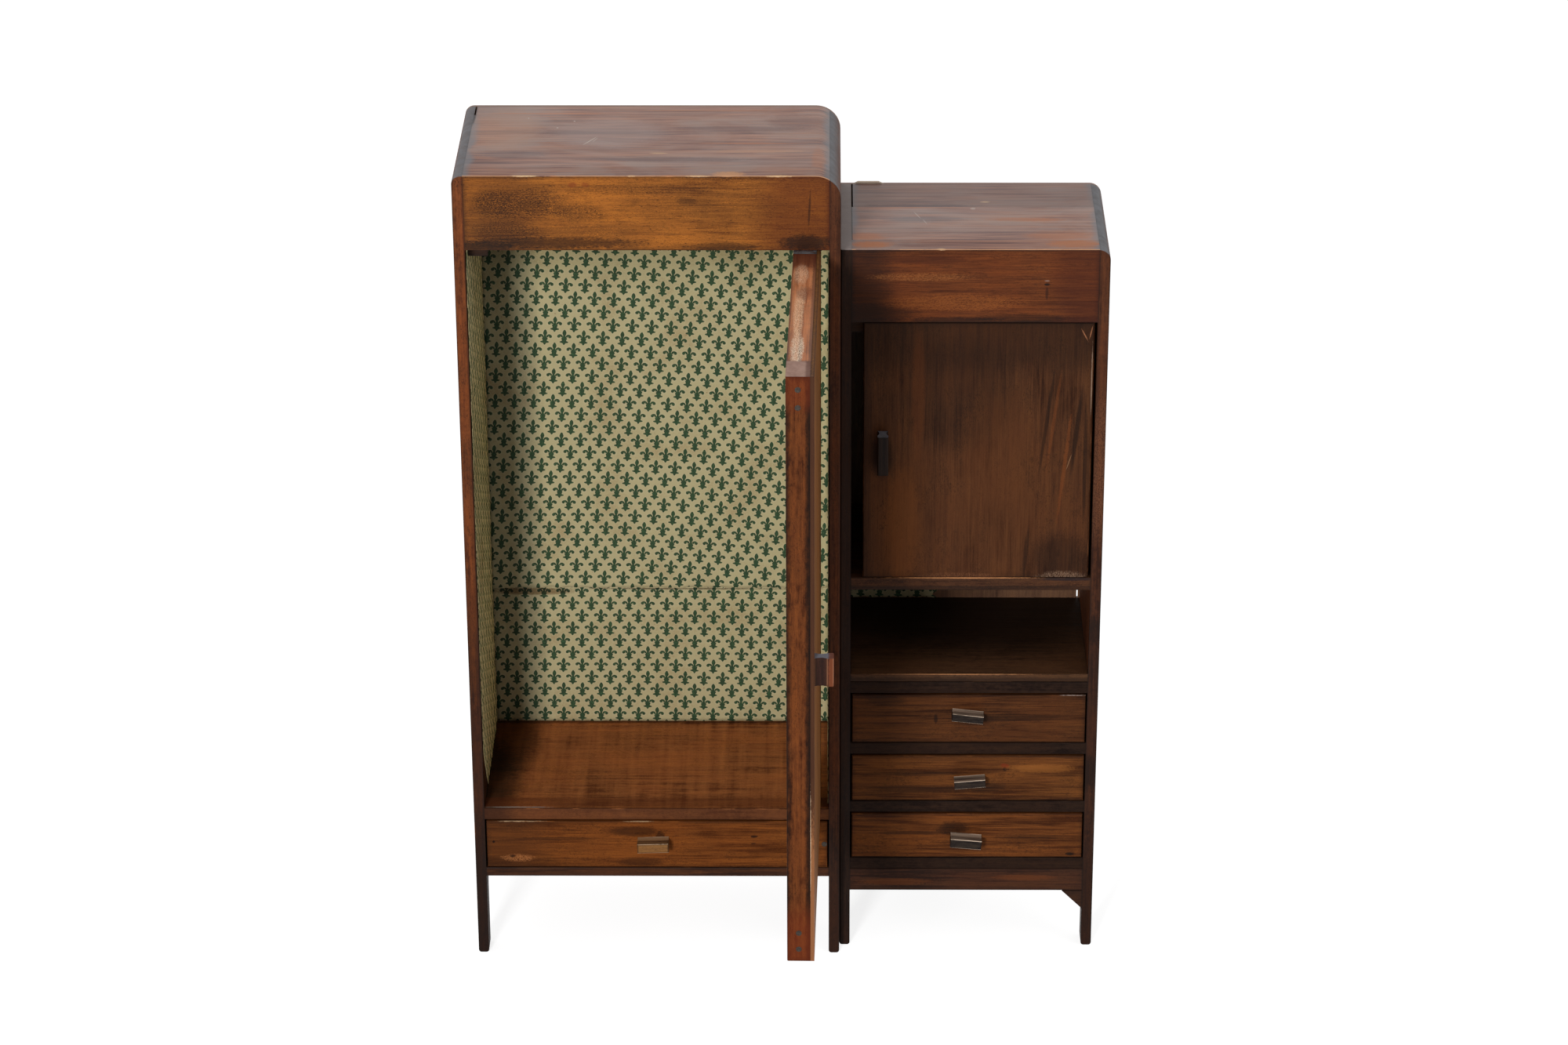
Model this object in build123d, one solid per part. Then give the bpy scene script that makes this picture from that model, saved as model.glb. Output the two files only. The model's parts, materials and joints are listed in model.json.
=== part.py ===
from build123d import *
import os

# Miniature wardrobe for dolls: a tall hanging cupboard with one framed door and a wide
# drawer, and beside it a lower unit with a small door, an open niche and three drawers.
# Millimetres. X runs to the right, Y into the depth and Z up. The pieces are made with
# X = 0 at the tall unit's left side, Y = 0 at its front and Z = 0 under the feet. At the
# end they all move so that the origin is the centre of the sole of the middle front foot,
# which is the lower end of the tall unit's right side.

# ---- overall sizes ----
tall_width = 200.0
tall_height = 460.0
low_width = 140.0
low_height = 416.0
low_setback = 9.0
depth = 105.0

# ---- boards ----
side_thickness = 5.8
top_thickness = 6.0
fascia_height = 41.0
fascia_thickness = 13.0
back_thickness = 2.0
back_lip = 1.0
back_lip_inset = 7.5
back_lip_length = 15.0
back_lip_slope = 2.0
paper_thickness = 0.3
worn_edge = 0.8

# ---- rounded top corners, seen from the front ----
tall_left_round = 5.0
tall_right_round = 13.0
low_right_round = 6.5

# ---- feet cut out of the side panels ----
foot_depth = 12.0
foot_arch_height = 44.0
foot_arch_round = 6.0
foot_tip_round = 1.6

# ---- tall unit: upper faces and thicknesses of its boards ----
tall_floor_top = 90.7
tall_floor_thickness = 7.0
tall_bottom_top = 53.8
tall_bottom_thickness = 5.6

# ---- low unit, from the shelf downwards to the lowest divider, level with the tall bottom ----
shelf_thickness = 7.5
niche_height = 50.5
niche_board_thickness = 4.7
divider_thickness = 7.1
drawer_1_opening = 30.2
drawer_2_opening = 28.9
drawer_3_opening = 28.5
apron_height = 13.7
apron_thickness = 5.0
gusset_leg = 11.2
top_rear_plank_depth = 34.0

# ---- shrinkage cracks ----
crack_width = 0.8
tall_crack_length = 13.0
back_split_height = 24.0
back_split_inset = 1.0

# ---- door stops behind the fascias ----
stop_width = 10.5
stop_height = 9.0
stop_depth = 10.0
stop_gap = 0.4

# ---- tall door ----
tall_door_open_angle = 89.0
tall_door_frame_thickness = 12.0
tall_door_panel_thickness = 2.0
tall_door_stile = 19.0
tall_door_rail = 24.0
tall_door_free_gap = 7.3
tall_door_hinge_gap = 3.2
tall_door_pivot_inset = 8.3

# ---- small door ----
small_door_thickness = 8.0
small_door_free_gap = 6.2
small_door_hinge_gap = 1.2
small_door_pivot_inset = 6.0
small_door_hinge_round = 2.5

# ---- hinge pins ----
door_end_gap = 0.5
pin_diameter = 2.0
pin_clearance = 0.05
pin_in_door = 9.0
pin_in_board = 5.0
pin_hole_extra = 0.4

# ---- drawers ----
drawer_side_gap = 0.8
drawer_top_gap = 0.9
drawer_seat_gap = 0.3
drawer_front_thickness = 6.0
drawer_wall = 3.4
drawer_bottom = 2.0
drawer_wall_drop = 4.0
drawer_back_gap = 5.0

# ---- handles: short lengths of a waisted strip, each made a little slimmer or bolder by hand ----
handle_base = 5.6
handle_waist = 3.8
handle_face = 5.8
handle_reach = 8.6
handle_lip = 2.6
handle_round = 0.8
drawer_handle_length = 17.0
small_door_handle_length = 22.0
small_door_handle_inset = 10.4
small_door_handle_rise = 75.0
tall_door_handle_length = 15.6
tall_door_handle_inset = 5.4
tall_door_handle_rise = 165.5
tall_door_handle_boldness = 1.12

# ---- drawer handles: to the right of and above the front's middle, tilt in degrees, boldness ----
wide_handle = (-2.0, 1.9, 1.5, 1.0)
low_handles = ((-0.6, 3.2, -6.5, 0.8), (1.1, -0.5, 5.0, 0.8), (-0.6, -1.3, -5.0, 0.95))

# ---- nails ----
nail_head = 3.0
nail_head_height = 0.6
nail_head_sides = 24
nail_shank = 1.4
nail_shank_sides = 6
nail_length = 18.0
nail_proud = 0.15
tack_head = 2.6
tack_length = 7.0
door_nail_insets = (7.0, 16.5)
nail_edge = 12.0

# ---- wallpaper ----
paper_front_gap = 2.0
paper_seam_rise = 85.0
torn_corner_depth = 26.0
torn_corner_height = 34.0
remnant_width = 48.0
remnant_tear = 5.0

# ---- worked-out positions ----
carcass_back = depth - back_thickness
tall_inner = (side_thickness, tall_width - side_thickness)
low_outer = (tall_width, tall_width + low_width)
low_inner = (low_outer[0] + side_thickness, low_outer[1] - side_thickness)
tall_ceiling = tall_height - top_thickness
low_ceiling = low_height - top_thickness
tall_fascia_under = tall_height - fascia_height
low_fascia_under = low_height - fascia_height
tall_floor_under = tall_floor_top - tall_floor_thickness
bottom_under = tall_bottom_top - tall_bottom_thickness
low_drawer_openings = (drawer_1_opening, drawer_2_opening, drawer_3_opening)
dividers_top = bottom_under + 4 * divider_thickness + sum(low_drawer_openings)
niche_floor = dividers_top + niche_board_thickness
shelf_under = niche_floor + niche_height
shelf_top = shelf_under + shelf_thickness
apron_under = bottom_under - apron_height

tall_door_thickness = tall_door_frame_thickness + tall_door_panel_thickness
tall_door_x = (tall_inner[0] + tall_door_free_gap, tall_inner[1] - tall_door_hinge_gap)
tall_door_z = (tall_floor_top + door_end_gap, tall_fascia_under - door_end_gap)
tall_pivot = (tall_door_x[1] - tall_door_pivot_inset, tall_door_thickness / 2)
small_door_x = (low_inner[0] + small_door_free_gap, low_inner[1] - small_door_hinge_gap)
small_door_z = (shelf_top + door_end_gap, low_fascia_under - door_end_gap)
small_pivot = (small_door_x[1] - small_door_pivot_inset, low_setback + small_door_thickness / 2)

LOW_CORNER = (Align.MIN, Align.MIN, Align.MIN)
ON_BASE = (Align.CENTER, Align.CENTER, Align.MIN)
nodes = {}


# ---- helpers ----
def block(x, y, z):
    """A box given by its (low, high) pair along each axis."""
    size = (x[1] - x[0], y[1] - y[0], z[1] - z[0])
    return Pos(x[0], y[0], z[0]) * Box(*size, align=LOW_CORNER)


def front_face(solid):
    return solid.faces().sort_by(Axis.Y)[0]


def soften_front(solid, radius=worn_edge):
    """Rounds the edges around the front face, as wear does."""
    return fillet(front_face(solid).edges(), radius)


def soften_nosing(board, radius=worn_edge):
    """Rounds only the long upper and lower edges of a board's front."""
    return fillet(front_face(board).edges().filter_by(Axis.X), radius)


def group(parts):
    """Several separate solids that share one node."""
    return Compound(children=list(parts))


def unit_outline(x, front, height, left_round, right_round):
    """A whole unit as one bar with its rounded top corners and worn front edge."""
    bar = block(x, (front, depth), (0, height))
    for side, radius in ((0, left_round), (-1, right_round)):
        top_edges = bar.faces().sort_by(Axis.Z)[-1].edges().filter_by(Axis.Y)
        if radius:
            bar = fillet(top_edges.sort_by(Axis.X)[side], radius)
    front_edges = front_face(bar).edges().sort_by(Axis.Z)[1:]
    return fillet(front_edges, worn_edge)


def side_panel(x, front, height, outline):
    """A side board whose lower end is cut into a front and a rear foot."""
    arch_y = (front + foot_depth, carcass_back - foot_depth)
    arch = block((x[0] - 1, x[1] + 1), arch_y, (-1, foot_arch_height))
    arch = fillet(arch.faces().sort_by(Axis.Z)[-1].edges().filter_by(Axis.X), foot_arch_round)
    panel = block(x, (front, carcass_back), (0, height))
    sole_edges = panel.faces().sort_by(Axis.Z)[0].edges().filter_by(Axis.Y)
    panel = fillet(sole_edges, foot_tip_round)
    return (panel & outline) - arch


def pin_hole(pivot, low, high):
    """The hole in a board that a door's pin turns in."""
    radius = pin_diameter / 2 + pin_clearance
    return Pos(pivot[0], pivot[1], low) * Cylinder(radius, high - low, align=ON_BASE)


def door_pins(pivot, z):
    """The upper and lower headless pins, driven into the door's ends."""
    length = pin_in_door + door_end_gap + pin_in_board
    starts = (z[0] + pin_in_door - length, z[1] - pin_in_door)
    pin = Cylinder(pin_diameter / 2, length, align=ON_BASE)
    return group(Pos(pivot[0], pivot[1], start) * pin for start in starts)


def handle(length, boldness=1.0):
    """A waisted strip along X that stands out towards -Y from the face y = 0."""
    lip_start = handle_reach - handle_lip
    base, waist, face = handle_base / 2, handle_waist / 2, handle_face / 2
    upper = ThreePointArc((0, base), (lip_start / 2, waist), (lip_start, face))
    lower = ThreePointArc((0, -base), (lip_start / 2, -waist), (lip_start, -face))
    lip = Polyline((lip_start, face), (handle_reach, face), (handle_reach, -face), (lip_start, -face))
    profile = make_face([*upper.edges(), *lip.edges(), *lower.edges(), Line((0, base), (0, -base)).edge()])
    profile = scale(fillet(profile.vertices().sort_by(Axis.X)[-2:], handle_round), boldness)
    outwards = Plane(origin=(0, 0, 0), x_dir=(0, -1, 0), z_dir=(-1, 0, 0))
    return extrude(outwards * profile, length / 2, both=True)


def nail(head=nail_head, length=nail_length):
    """A nail that points along +Y, its head just proud of the face y = 0."""
    shank = extrude(RegularPolygon(nail_shank / 2, nail_shank_sides), length)
    cap = Pos(0, 0, -nail_proud) * extrude(RegularPolygon(head / 2, nail_head_sides), nail_head_height)
    return Rot(-90, 0, 0) * (shank + cap)


# ---- tall carcass ----
def tall_boards():
    deep = (0, carcass_back)
    outline = unit_outline((0, tall_width), 0, tall_height, tall_left_round, tall_right_round)
    hole = pin_in_board + pin_hole_extra
    nodes["tall_left_side"] = side_panel((0, tall_inner[0]), 0, tall_height, outline)
    nodes["tall_right_side"] = side_panel((tall_inner[1], tall_width), 0, tall_height, outline)
    fascia = block(tall_inner, (0, fascia_thickness), (tall_fascia_under, tall_height)) & outline
    nodes["tall_fascia"] = fascia - pin_hole(tall_pivot, tall_fascia_under, tall_fascia_under + hole)
    top = block(tall_inner, (fascia_thickness, carcass_back), (tall_ceiling, tall_height)) & outline
    crack_x = (tall_inner[0], tall_inner[0] + crack_width)
    crack = block(crack_x, (carcass_back - tall_crack_length, carcass_back), (tall_ceiling, tall_height))
    nodes["tall_top_board"] = top - crack
    floor = soften_nosing(block(tall_inner, deep, (tall_floor_under, tall_floor_top)))
    nodes["tall_floor_board"] = floor - pin_hole(tall_pivot, tall_floor_top - hole, tall_floor_top)
    bottom = block(tall_inner, deep, (bottom_under, tall_bottom_top))
    nodes["tall_bottom_board"] = soften_nosing(bottom)
    panel = block((0, tall_width), (carcass_back, depth), (bottom_under, tall_height))
    nodes["tall_back_panel"] = panel & outline


def door_stop(left, door_back, under):
    """A small block glued under the fascia, which the closed door meets."""
    y = (door_back + stop_gap, door_back + stop_gap + stop_depth)
    return block((left, left + stop_width), y, (under - stop_height, under))


# ---- wallpaper ----
def side_paper(x, torn):
    """A side wall's paper, cut round the fascia, with its lower front corner torn off or whole."""
    corner = [(paper_front_gap, tall_floor_top)]
    if torn:
        corner = [(paper_front_gap, tall_floor_top + torn_corner_height)]
        corner += [(torn_corner_depth, tall_floor_top)]
    outline = corner + [
        (carcass_back, tall_floor_top),
        (carcass_back, tall_ceiling),
        (fascia_thickness, tall_ceiling),
        (fascia_thickness, tall_fascia_under),
        (paper_front_gap, tall_fascia_under),
    ]
    sheet = Plane.YZ.offset(x) * make_face(Polyline(*outline, close=True))
    return extrude(sheet, paper_thickness)


def wallpaper():
    seam = tall_floor_top + paper_seam_rise
    back_y = (carcass_back - paper_thickness, carcass_back)
    back_x = (tall_inner[0] + paper_thickness, tall_inner[1] - paper_thickness)
    nodes["wallpaper_back_upper"] = block(back_x, back_y, (seam, tall_ceiling))
    nodes["wallpaper_back_lower"] = block(back_x, back_y, (tall_floor_top, seam))
    nodes["wallpaper_left"] = side_paper(tall_inner[0], torn=True)
    nodes["wallpaper_right"] = side_paper(tall_inner[1] - paper_thickness, torn=False)


def remnant():
    """What is left of the paper at the back of the niche, with a torn right-hand edge."""
    left = low_inner[0]
    right = left + remnant_width
    step = niche_height / 4
    tear = [(right + remnant_tear * (i % 2), niche_floor + step * i) for i in range(5)]
    outline = Polyline((left, niche_floor), *tear, (left, shelf_under), close=True)
    sheet = Plane.XZ.offset(-carcass_back) * make_face(outline)
    nodes["wallpaper_remnant"] = extrude(sheet, paper_thickness)


# ---- tall door, made closed and then swung open ----
def tall_door():
    swing = Pos(*tall_pivot, 0) * Rot(0, 0, tall_door_open_angle) * Pos(-tall_pivot[0], -tall_pivot[1], 0)
    frame_y = (tall_door_panel_thickness, tall_door_thickness)
    left, right = tall_door_x
    low, high = tall_door_z
    between = (left + tall_door_stile, right - tall_door_stile)
    free_stile = block((left, between[0]), frame_y, tall_door_z)
    free_edges = free_stile.faces().sort_by(Axis.X)[0].edges().filter_by(Axis.Z)
    handle_z = low + tall_door_handle_rise
    nail_x = Pos(left, tall_door_panel_thickness + tall_door_frame_thickness / 2, 0) * Rot(0, 0, -90)
    heights = [low + inset for inset in door_nail_insets] + [high - inset for inset in door_nail_insets]
    pieces = {
        "door_free_stile": fillet(free_edges.sort_by(Axis.Y)[-1], worn_edge),
        "door_hinge_stile": block((between[1], right), frame_y, tall_door_z),
        "door_top_rail": block(between, frame_y, (high - tall_door_rail, high)),
        "door_bottom_rail": block(between, frame_y, (low, low + tall_door_rail)),
        "door_panel": block(tall_door_x, (0, tall_door_panel_thickness), tall_door_z),
        "door_handle": Pos(left + tall_door_handle_inset, 0, handle_z)
        * Rot(0, 90, 0)
        * handle(tall_door_handle_length, tall_door_handle_boldness),
        "door_pins": door_pins(tall_pivot, tall_door_z),
        "door_nails": group(Pos(0, 0, z) * nail_x * nail() for z in heights),
    }
    for name, piece in pieces.items():
        nodes[name] = swing * piece


# ---- low carcass ----
def low_boards():
    deep = (low_setback, carcass_back)
    outline = unit_outline(low_outer, low_setback, low_height, 0, low_right_round)
    nodes["low_left_side"] = side_panel((low_outer[0], low_inner[0]), low_setback, low_height, outline)
    nodes["low_right_side"] = side_panel((low_inner[1], low_outer[1]), low_setback, low_height, outline)
    fascia_back = low_setback + fascia_thickness
    plank_joint = carcass_back - top_rear_plank_depth
    hole = pin_in_board + pin_hole_extra
    fascia = block(low_inner, (low_setback, fascia_back), (low_fascia_under, low_height)) & outline
    nodes["low_fascia"] = fascia - pin_hole(small_pivot, low_fascia_under, low_fascia_under + hole)
    top_z = (low_ceiling, low_height)
    nodes["low_top_front"] = block(low_inner, (fascia_back, plank_joint), top_z) & outline
    rear_x = (low_inner[0] + crack_width, low_inner[1])
    nodes["low_top_rear"] = block(rear_x, (plank_joint, carcass_back), top_z) & outline
    shelf = soften_nosing(block(low_inner, deep, (shelf_under, shelf_top)))
    nodes["shelf"] = shelf - pin_hole(small_pivot, shelf_top - hole, shelf_top)
    nodes["niche_board"] = soften_nosing(block(low_inner, deep, (dividers_top, niche_floor)))
    level = dividers_top
    for number, opening in enumerate((*low_drawer_openings, 0), start=1):
        board = block(low_inner, deep, (level - divider_thickness, level))
        nodes[f"divider_{number}"] = soften_nosing(board)
        level -= divider_thickness + opening


def low_back():
    """The thin back, with a sliver that stands above the top and a split beside the niche."""
    panel = block(low_outer, (carcass_back, depth), (bottom_under, low_height))
    corner = panel.faces().sort_by(Axis.Z)[-1].edges().filter_by(Axis.Y).sort_by(Axis.X)[-1]
    panel = fillet(corner, low_right_round)
    lip_x = (low_outer[0] + back_lip_inset, low_outer[0] + back_lip_inset + back_lip_length)
    lip_outline = Polyline(
        (lip_x[0], low_height - back_lip),
        (lip_x[1], low_height - back_lip),
        (lip_x[1], low_height),
        (lip_x[1] - back_lip_slope, low_height + back_lip),
        (lip_x[0] + back_lip_slope, low_height + back_lip),
        (lip_x[0], low_height),
        close=True,
    )
    panel += extrude(Plane.XZ.offset(-depth) * make_face(lip_outline), back_thickness)
    split_right = low_inner[1] - back_split_inset
    split_x = (split_right - crack_width, split_right)
    split = block(split_x, (carcass_back, depth), (niche_floor, niche_floor + back_split_height))
    nodes["low_back_panel"] = panel - split


def apron_and_gusset():
    front_y = (low_setback, low_setback + apron_thickness)
    nodes["apron"] = soften_nosing(block(low_inner, front_y, (apron_under, bottom_under)))
    corner = (low_inner[1], apron_under)
    ends = ((corner[0] - gusset_leg, corner[1]), (corner[0], corner[1] - gusset_leg))
    outline = Polyline(corner, *ends, close=True)
    triangle = Plane.XZ.offset(-front_y[1]) * make_face(outline)
    nodes["corner_gusset"] = extrude(triangle, apron_thickness)


# ---- small door, closed ----
def small_door():
    y = (low_setback, low_setback + small_door_thickness)
    slab = block(small_door_x, y, small_door_z)
    hinge_edge = front_face(slab).edges().filter_by(Axis.Z).sort_by(Axis.X)[-1]
    slab = fillet(hinge_edge, small_door_hinge_round)
    free_edges = front_face(slab).edges().sort_by(Axis.X)[:1]
    nodes["small_door_slab"] = fillet(free_edges, worn_edge)
    spot = Pos(small_door_x[0] + small_door_handle_inset, low_setback, shelf_top + small_door_handle_rise)
    nodes["small_door_handle"] = spot * Rot(0, 90, 0) * handle(small_door_handle_length)
    nodes["small_door_pins"] = door_pins(small_pivot, small_door_z)


# ---- drawers ----
def drawer(name, x, front, z, handle_place):
    """A drawer shut in the opening x by z: its front, its three walls, its bottom and its handle."""
    x = (x[0] + drawer_side_gap, x[1] - drawer_side_gap)
    z = (z[0] + drawer_seat_gap, z[1] - drawer_top_gap)
    box_y = (front + drawer_front_thickness, carcass_back - drawer_back_gap)
    wall_z = (z[0] + drawer_bottom, z[1] - drawer_wall_drop)
    inner_x = (x[0] + drawer_wall, x[1] - drawer_wall)
    nodes[f"{name}_front"] = soften_front(block(x, (front, box_y[0]), z))
    left = block((x[0], inner_x[0]), box_y, wall_z)
    right = block((inner_x[1], x[1]), box_y, wall_z)
    back = block(inner_x, (box_y[1] - drawer_wall, box_y[1]), wall_z)
    nodes[f"{name}_walls"] = group((left, right, back))
    nodes[f"{name}_bottom"] = block(x, box_y, (z[0], z[0] + drawer_bottom))
    sideways, rise, tilt, boldness = handle_place
    spot = Pos((x[0] + x[1]) / 2 + sideways, front, (z[0] + z[1]) / 2 + rise)
    nodes[f"{name}_handle"] = spot * Rot(0, -tilt, 0) * handle(drawer_handle_length, boldness)


def drawers():
    drawer("wide_drawer", tall_inner, 0, (tall_bottom_top, tall_floor_under), wide_handle)
    wall_x = tall_inner[1] - drawer_side_gap - drawer_wall / 2
    nail_z = (tall_bottom_top + tall_floor_under) / 2
    nodes["wide_drawer_nail"] = Pos(wall_x, 0, nail_z) * nail()
    top = dividers_top
    for number, (opening, place) in enumerate(zip(low_drawer_openings, low_handles), start=1):
        top -= divider_thickness
        drawer(f"drawer_{number}", low_inner, low_setback, (top - opening, top), place)
        top -= opening


# ---- nails of the carcasses ----
def side_nails(x, turn, spots):
    """Nails through a side panel's outer face, each at its (y, z)."""
    return [Pos(x, y, z) * Rot(0, 0, turn) * nail() for y, z in spots]


def board_spots(front, levels):
    """A front and a rear nail for each board at these levels."""
    return [(y, z) for z in levels for y in (front + nail_edge, carcass_back - nail_edge)]


def back_tacks(x, heights):
    """Tacks through a thin back into the rear edges of both side panels."""
    spots = (x[0] + side_thickness / 2, x[1] - side_thickness / 2)
    tack = Rot(0, 0, 180) * nail(tack_head, tack_length)
    return [Pos(spot, depth, z) * tack for spot in spots for z in heights]


def tack_levels(bottom, top, count=4):
    """Evenly spaced heights between the two ends of a back panel."""
    low = bottom + nail_edge
    step = (top - nail_edge - low) / (count - 1)
    return [low + step * i for i in range(count)]


def carcass_nails():
    fascia_nail = (fascia_thickness / 2, fascia_height / 2)
    tall_levels = (
        tall_floor_top - tall_floor_thickness / 2,
        tall_bottom_top - tall_bottom_thickness / 2,
    )
    low_levels = (
        shelf_top - shelf_thickness / 2,
        dividers_top - divider_thickness / 2,
        bottom_under + divider_thickness / 2,
    )
    tall_spots = [(fascia_nail[0], tall_fascia_under + fascia_nail[1])]
    tall_spots += board_spots(0, tall_levels)
    low_spots = [(low_setback + fascia_nail[0], low_fascia_under + fascia_nail[1])]
    low_spots += board_spots(low_setback, low_levels)
    tall_tacks = back_tacks((0, tall_width), tack_levels(bottom_under, tall_ceiling))
    low_tacks = back_tacks(low_outer, tack_levels(bottom_under, low_ceiling))
    nodes["tall_carcass_nails"] = group(side_nails(0, -90, tall_spots) + tall_tacks)
    nodes["low_carcass_nails"] = group(side_nails(low_outer[1], 90, low_spots) + low_tacks)


def build():
    tall_boards()
    low_boards()
    low_back()
    apron_and_gusset()
    wallpaper()
    remnant()
    stop_left = tall_inner[0] + paper_thickness
    nodes["tall_door_stop"] = door_stop(stop_left, tall_door_thickness, tall_fascia_under)
    small_door_back = low_setback + small_door_thickness
    nodes["low_door_stop"] = door_stop(low_inner[0], small_door_back, low_fascia_under)
    tall_door()
    small_door()
    drawers()
    carcass_nails()


def write():
    """Moves the origin to the middle front foot's sole and writes one file for each node."""
    origin = (tall_width - side_thickness / 2, foot_depth / 2)
    shift = Pos(-origin[0], -origin[1], 0)
    os.makedirs("parts", exist_ok=True)
    for name, piece in nodes.items():
        export_step(shift * piece, f"parts/{name}.step")
    for name, pivot in (("tall door", tall_pivot), ("small door", small_pivot)):
        print(name, "pivot at", round(pivot[0] - origin[0], 3), round(pivot[1] - origin[1], 3))


build()
write()
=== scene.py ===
import json
import math

import bmesh
import bpy
from mathutils import Matrix, Vector, noise

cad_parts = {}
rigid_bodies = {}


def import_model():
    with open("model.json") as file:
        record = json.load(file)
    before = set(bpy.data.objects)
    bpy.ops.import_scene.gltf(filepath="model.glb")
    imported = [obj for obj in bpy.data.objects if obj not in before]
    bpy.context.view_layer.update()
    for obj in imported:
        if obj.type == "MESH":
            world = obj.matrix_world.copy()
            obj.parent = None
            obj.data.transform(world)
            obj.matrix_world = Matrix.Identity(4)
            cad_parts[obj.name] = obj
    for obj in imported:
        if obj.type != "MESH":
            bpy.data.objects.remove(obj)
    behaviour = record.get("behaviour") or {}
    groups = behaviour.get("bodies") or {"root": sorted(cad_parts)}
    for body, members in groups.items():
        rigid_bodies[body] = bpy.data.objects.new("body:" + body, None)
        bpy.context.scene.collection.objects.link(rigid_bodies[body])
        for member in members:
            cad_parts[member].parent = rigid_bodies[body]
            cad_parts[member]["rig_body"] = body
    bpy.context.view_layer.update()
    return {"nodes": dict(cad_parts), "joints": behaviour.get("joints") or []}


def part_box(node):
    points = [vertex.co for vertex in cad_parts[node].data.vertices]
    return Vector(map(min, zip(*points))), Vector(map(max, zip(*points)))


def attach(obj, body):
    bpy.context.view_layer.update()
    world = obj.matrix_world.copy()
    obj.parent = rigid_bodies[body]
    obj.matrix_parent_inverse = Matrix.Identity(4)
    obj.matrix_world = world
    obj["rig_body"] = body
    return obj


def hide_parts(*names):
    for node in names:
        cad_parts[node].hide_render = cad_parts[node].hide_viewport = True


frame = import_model()
nodes = frame["nodes"]
joints = {joint["name"]: joint for joint in frame["joints"]}
MM = 0.001

# The tall door was made shut and then swung open about its hinge by this angle, so its
# boards are square only in the door's own shut pose.
TALL_DOOR_OPEN = 89.0
TALL_DOOR_PIVOT = Vector(joints["tall_door_hinge"]["pos_m"])
TALL_DOOR_NODES = [name for name in nodes if nodes[name]["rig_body"] == "tall_door"]


# ---- places and boxes
def shut(name):
    """The turn that brings a node of the tall door back to its shut pose, in the shared frame."""
    if name not in TALL_DOOR_NODES:
        return Matrix.Identity(4)
    to_pivot = Matrix.Translation(TALL_DOOR_PIVOT)
    return to_pivot @ Matrix.Rotation(math.radians(-TALL_DOOR_OPEN), 4, "Z") @ to_pivot.inverted()


def square_box(name):
    """Lowest and highest corner of a node where its boards are square, in metres."""
    turned = [shut(name) @ vertex.co for vertex in nodes[name].data.vertices]
    low = Vector(min(point[axis] for point in turned) for axis in range(3))
    high = Vector(max(point[axis] for point in turned) for axis in range(3))
    return low, high


boxes = {name: square_box(name) for name in nodes}


def placed(name, data):
    """A new object in the scene."""
    thing = bpy.data.objects.new(name, data)
    bpy.context.scene.collection.objects.link(thing)
    return thing


# ---- shader formulas
def srgb(red, green, blue):
    """A colour given as 0 to 255, as the linear values that a shader needs."""
    channels = []
    for value in (red, green, blue):
        share = value / 255
        channels.append(share / 12.92 if share <= 0.04045 else ((share + 0.055) / 1.055) ** 2.4)
    return (*channels, 1.0)


def feed(node, values):
    """Give a node its inputs, by their names or places. Each one is a field or another node's output,
    which is linked, or a plain value."""
    for slot, value in values.items():
        source = value.socket if isinstance(value, Field) else value
        if isinstance(source, bpy.types.NodeSocket):
            node.id_data.links.new(source, node.inputs[slot])
        else:
            node.inputs[slot].default_value = source
    return node


def made(tree, kind, values):
    """A new node with its inputs."""
    return feed(tree.nodes.new(kind), values)


class Field:
    """A number that varies over a surface, so that a pattern reads as a formula."""

    def __init__(self, tree, socket):
        self.tree = tree
        self.socket = socket

    def math(self, operation, *others):
        node = made(self.tree, "ShaderNodeMath", dict(enumerate((self, *others))))
        node.operation = operation
        return Field(self.tree, node.outputs[0])

    def __add__(self, other):
        return self.math("ADD", other)

    def __sub__(self, other):
        return self.math("SUBTRACT", other)

    def __mul__(self, other):
        return self.math("MULTIPLY", other)

    def __abs__(self):
        return self.math("ABSOLUTE")

    __radd__ = __add__
    __rmul__ = __mul__

    def __rsub__(self, other):
        return self * -1 + other

    def least(self, other):
        return self.math("MINIMUM", other)

    def most(self, other):
        return self.math("MAXIMUM", other)

    def fade(self, start, end):
        """0 before start and 1 past end, with a smooth change between them. The ends may be reversed."""
        flipped = start > end
        low, high = sorted((start, end))
        node = made(self.tree, "ShaderNodeMapRange", {
            "Value": self, "From Min": low, "From Max": high,
            "To Min": float(flipped), "To Max": float(not flipped)})
        node.interpolation_type = "SMOOTHSTEP"
        return Field(self.tree, node.outputs["Result"])


def parts(tree, vector):
    """A vector's three numbers."""
    node = made(tree, "ShaderNodeSeparateXYZ", {0: vector})
    return [Field(tree, output) for output in node.outputs]


def second_least(first, second, third):
    """The middle one of three fields in size."""
    return first.least(second).most(first.most(second).least(third))


def length(first, second):
    """How long a flat vector is, from its two numbers."""
    return (first * first + second * second).math("SQRT")


# Where Blender's mix node takes its share and its two colours, and where it gives the result.
COLOUR_MIX_SLOTS = (0, 6, 7)
COLOUR_MIX_OUTPUT = 2


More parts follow.
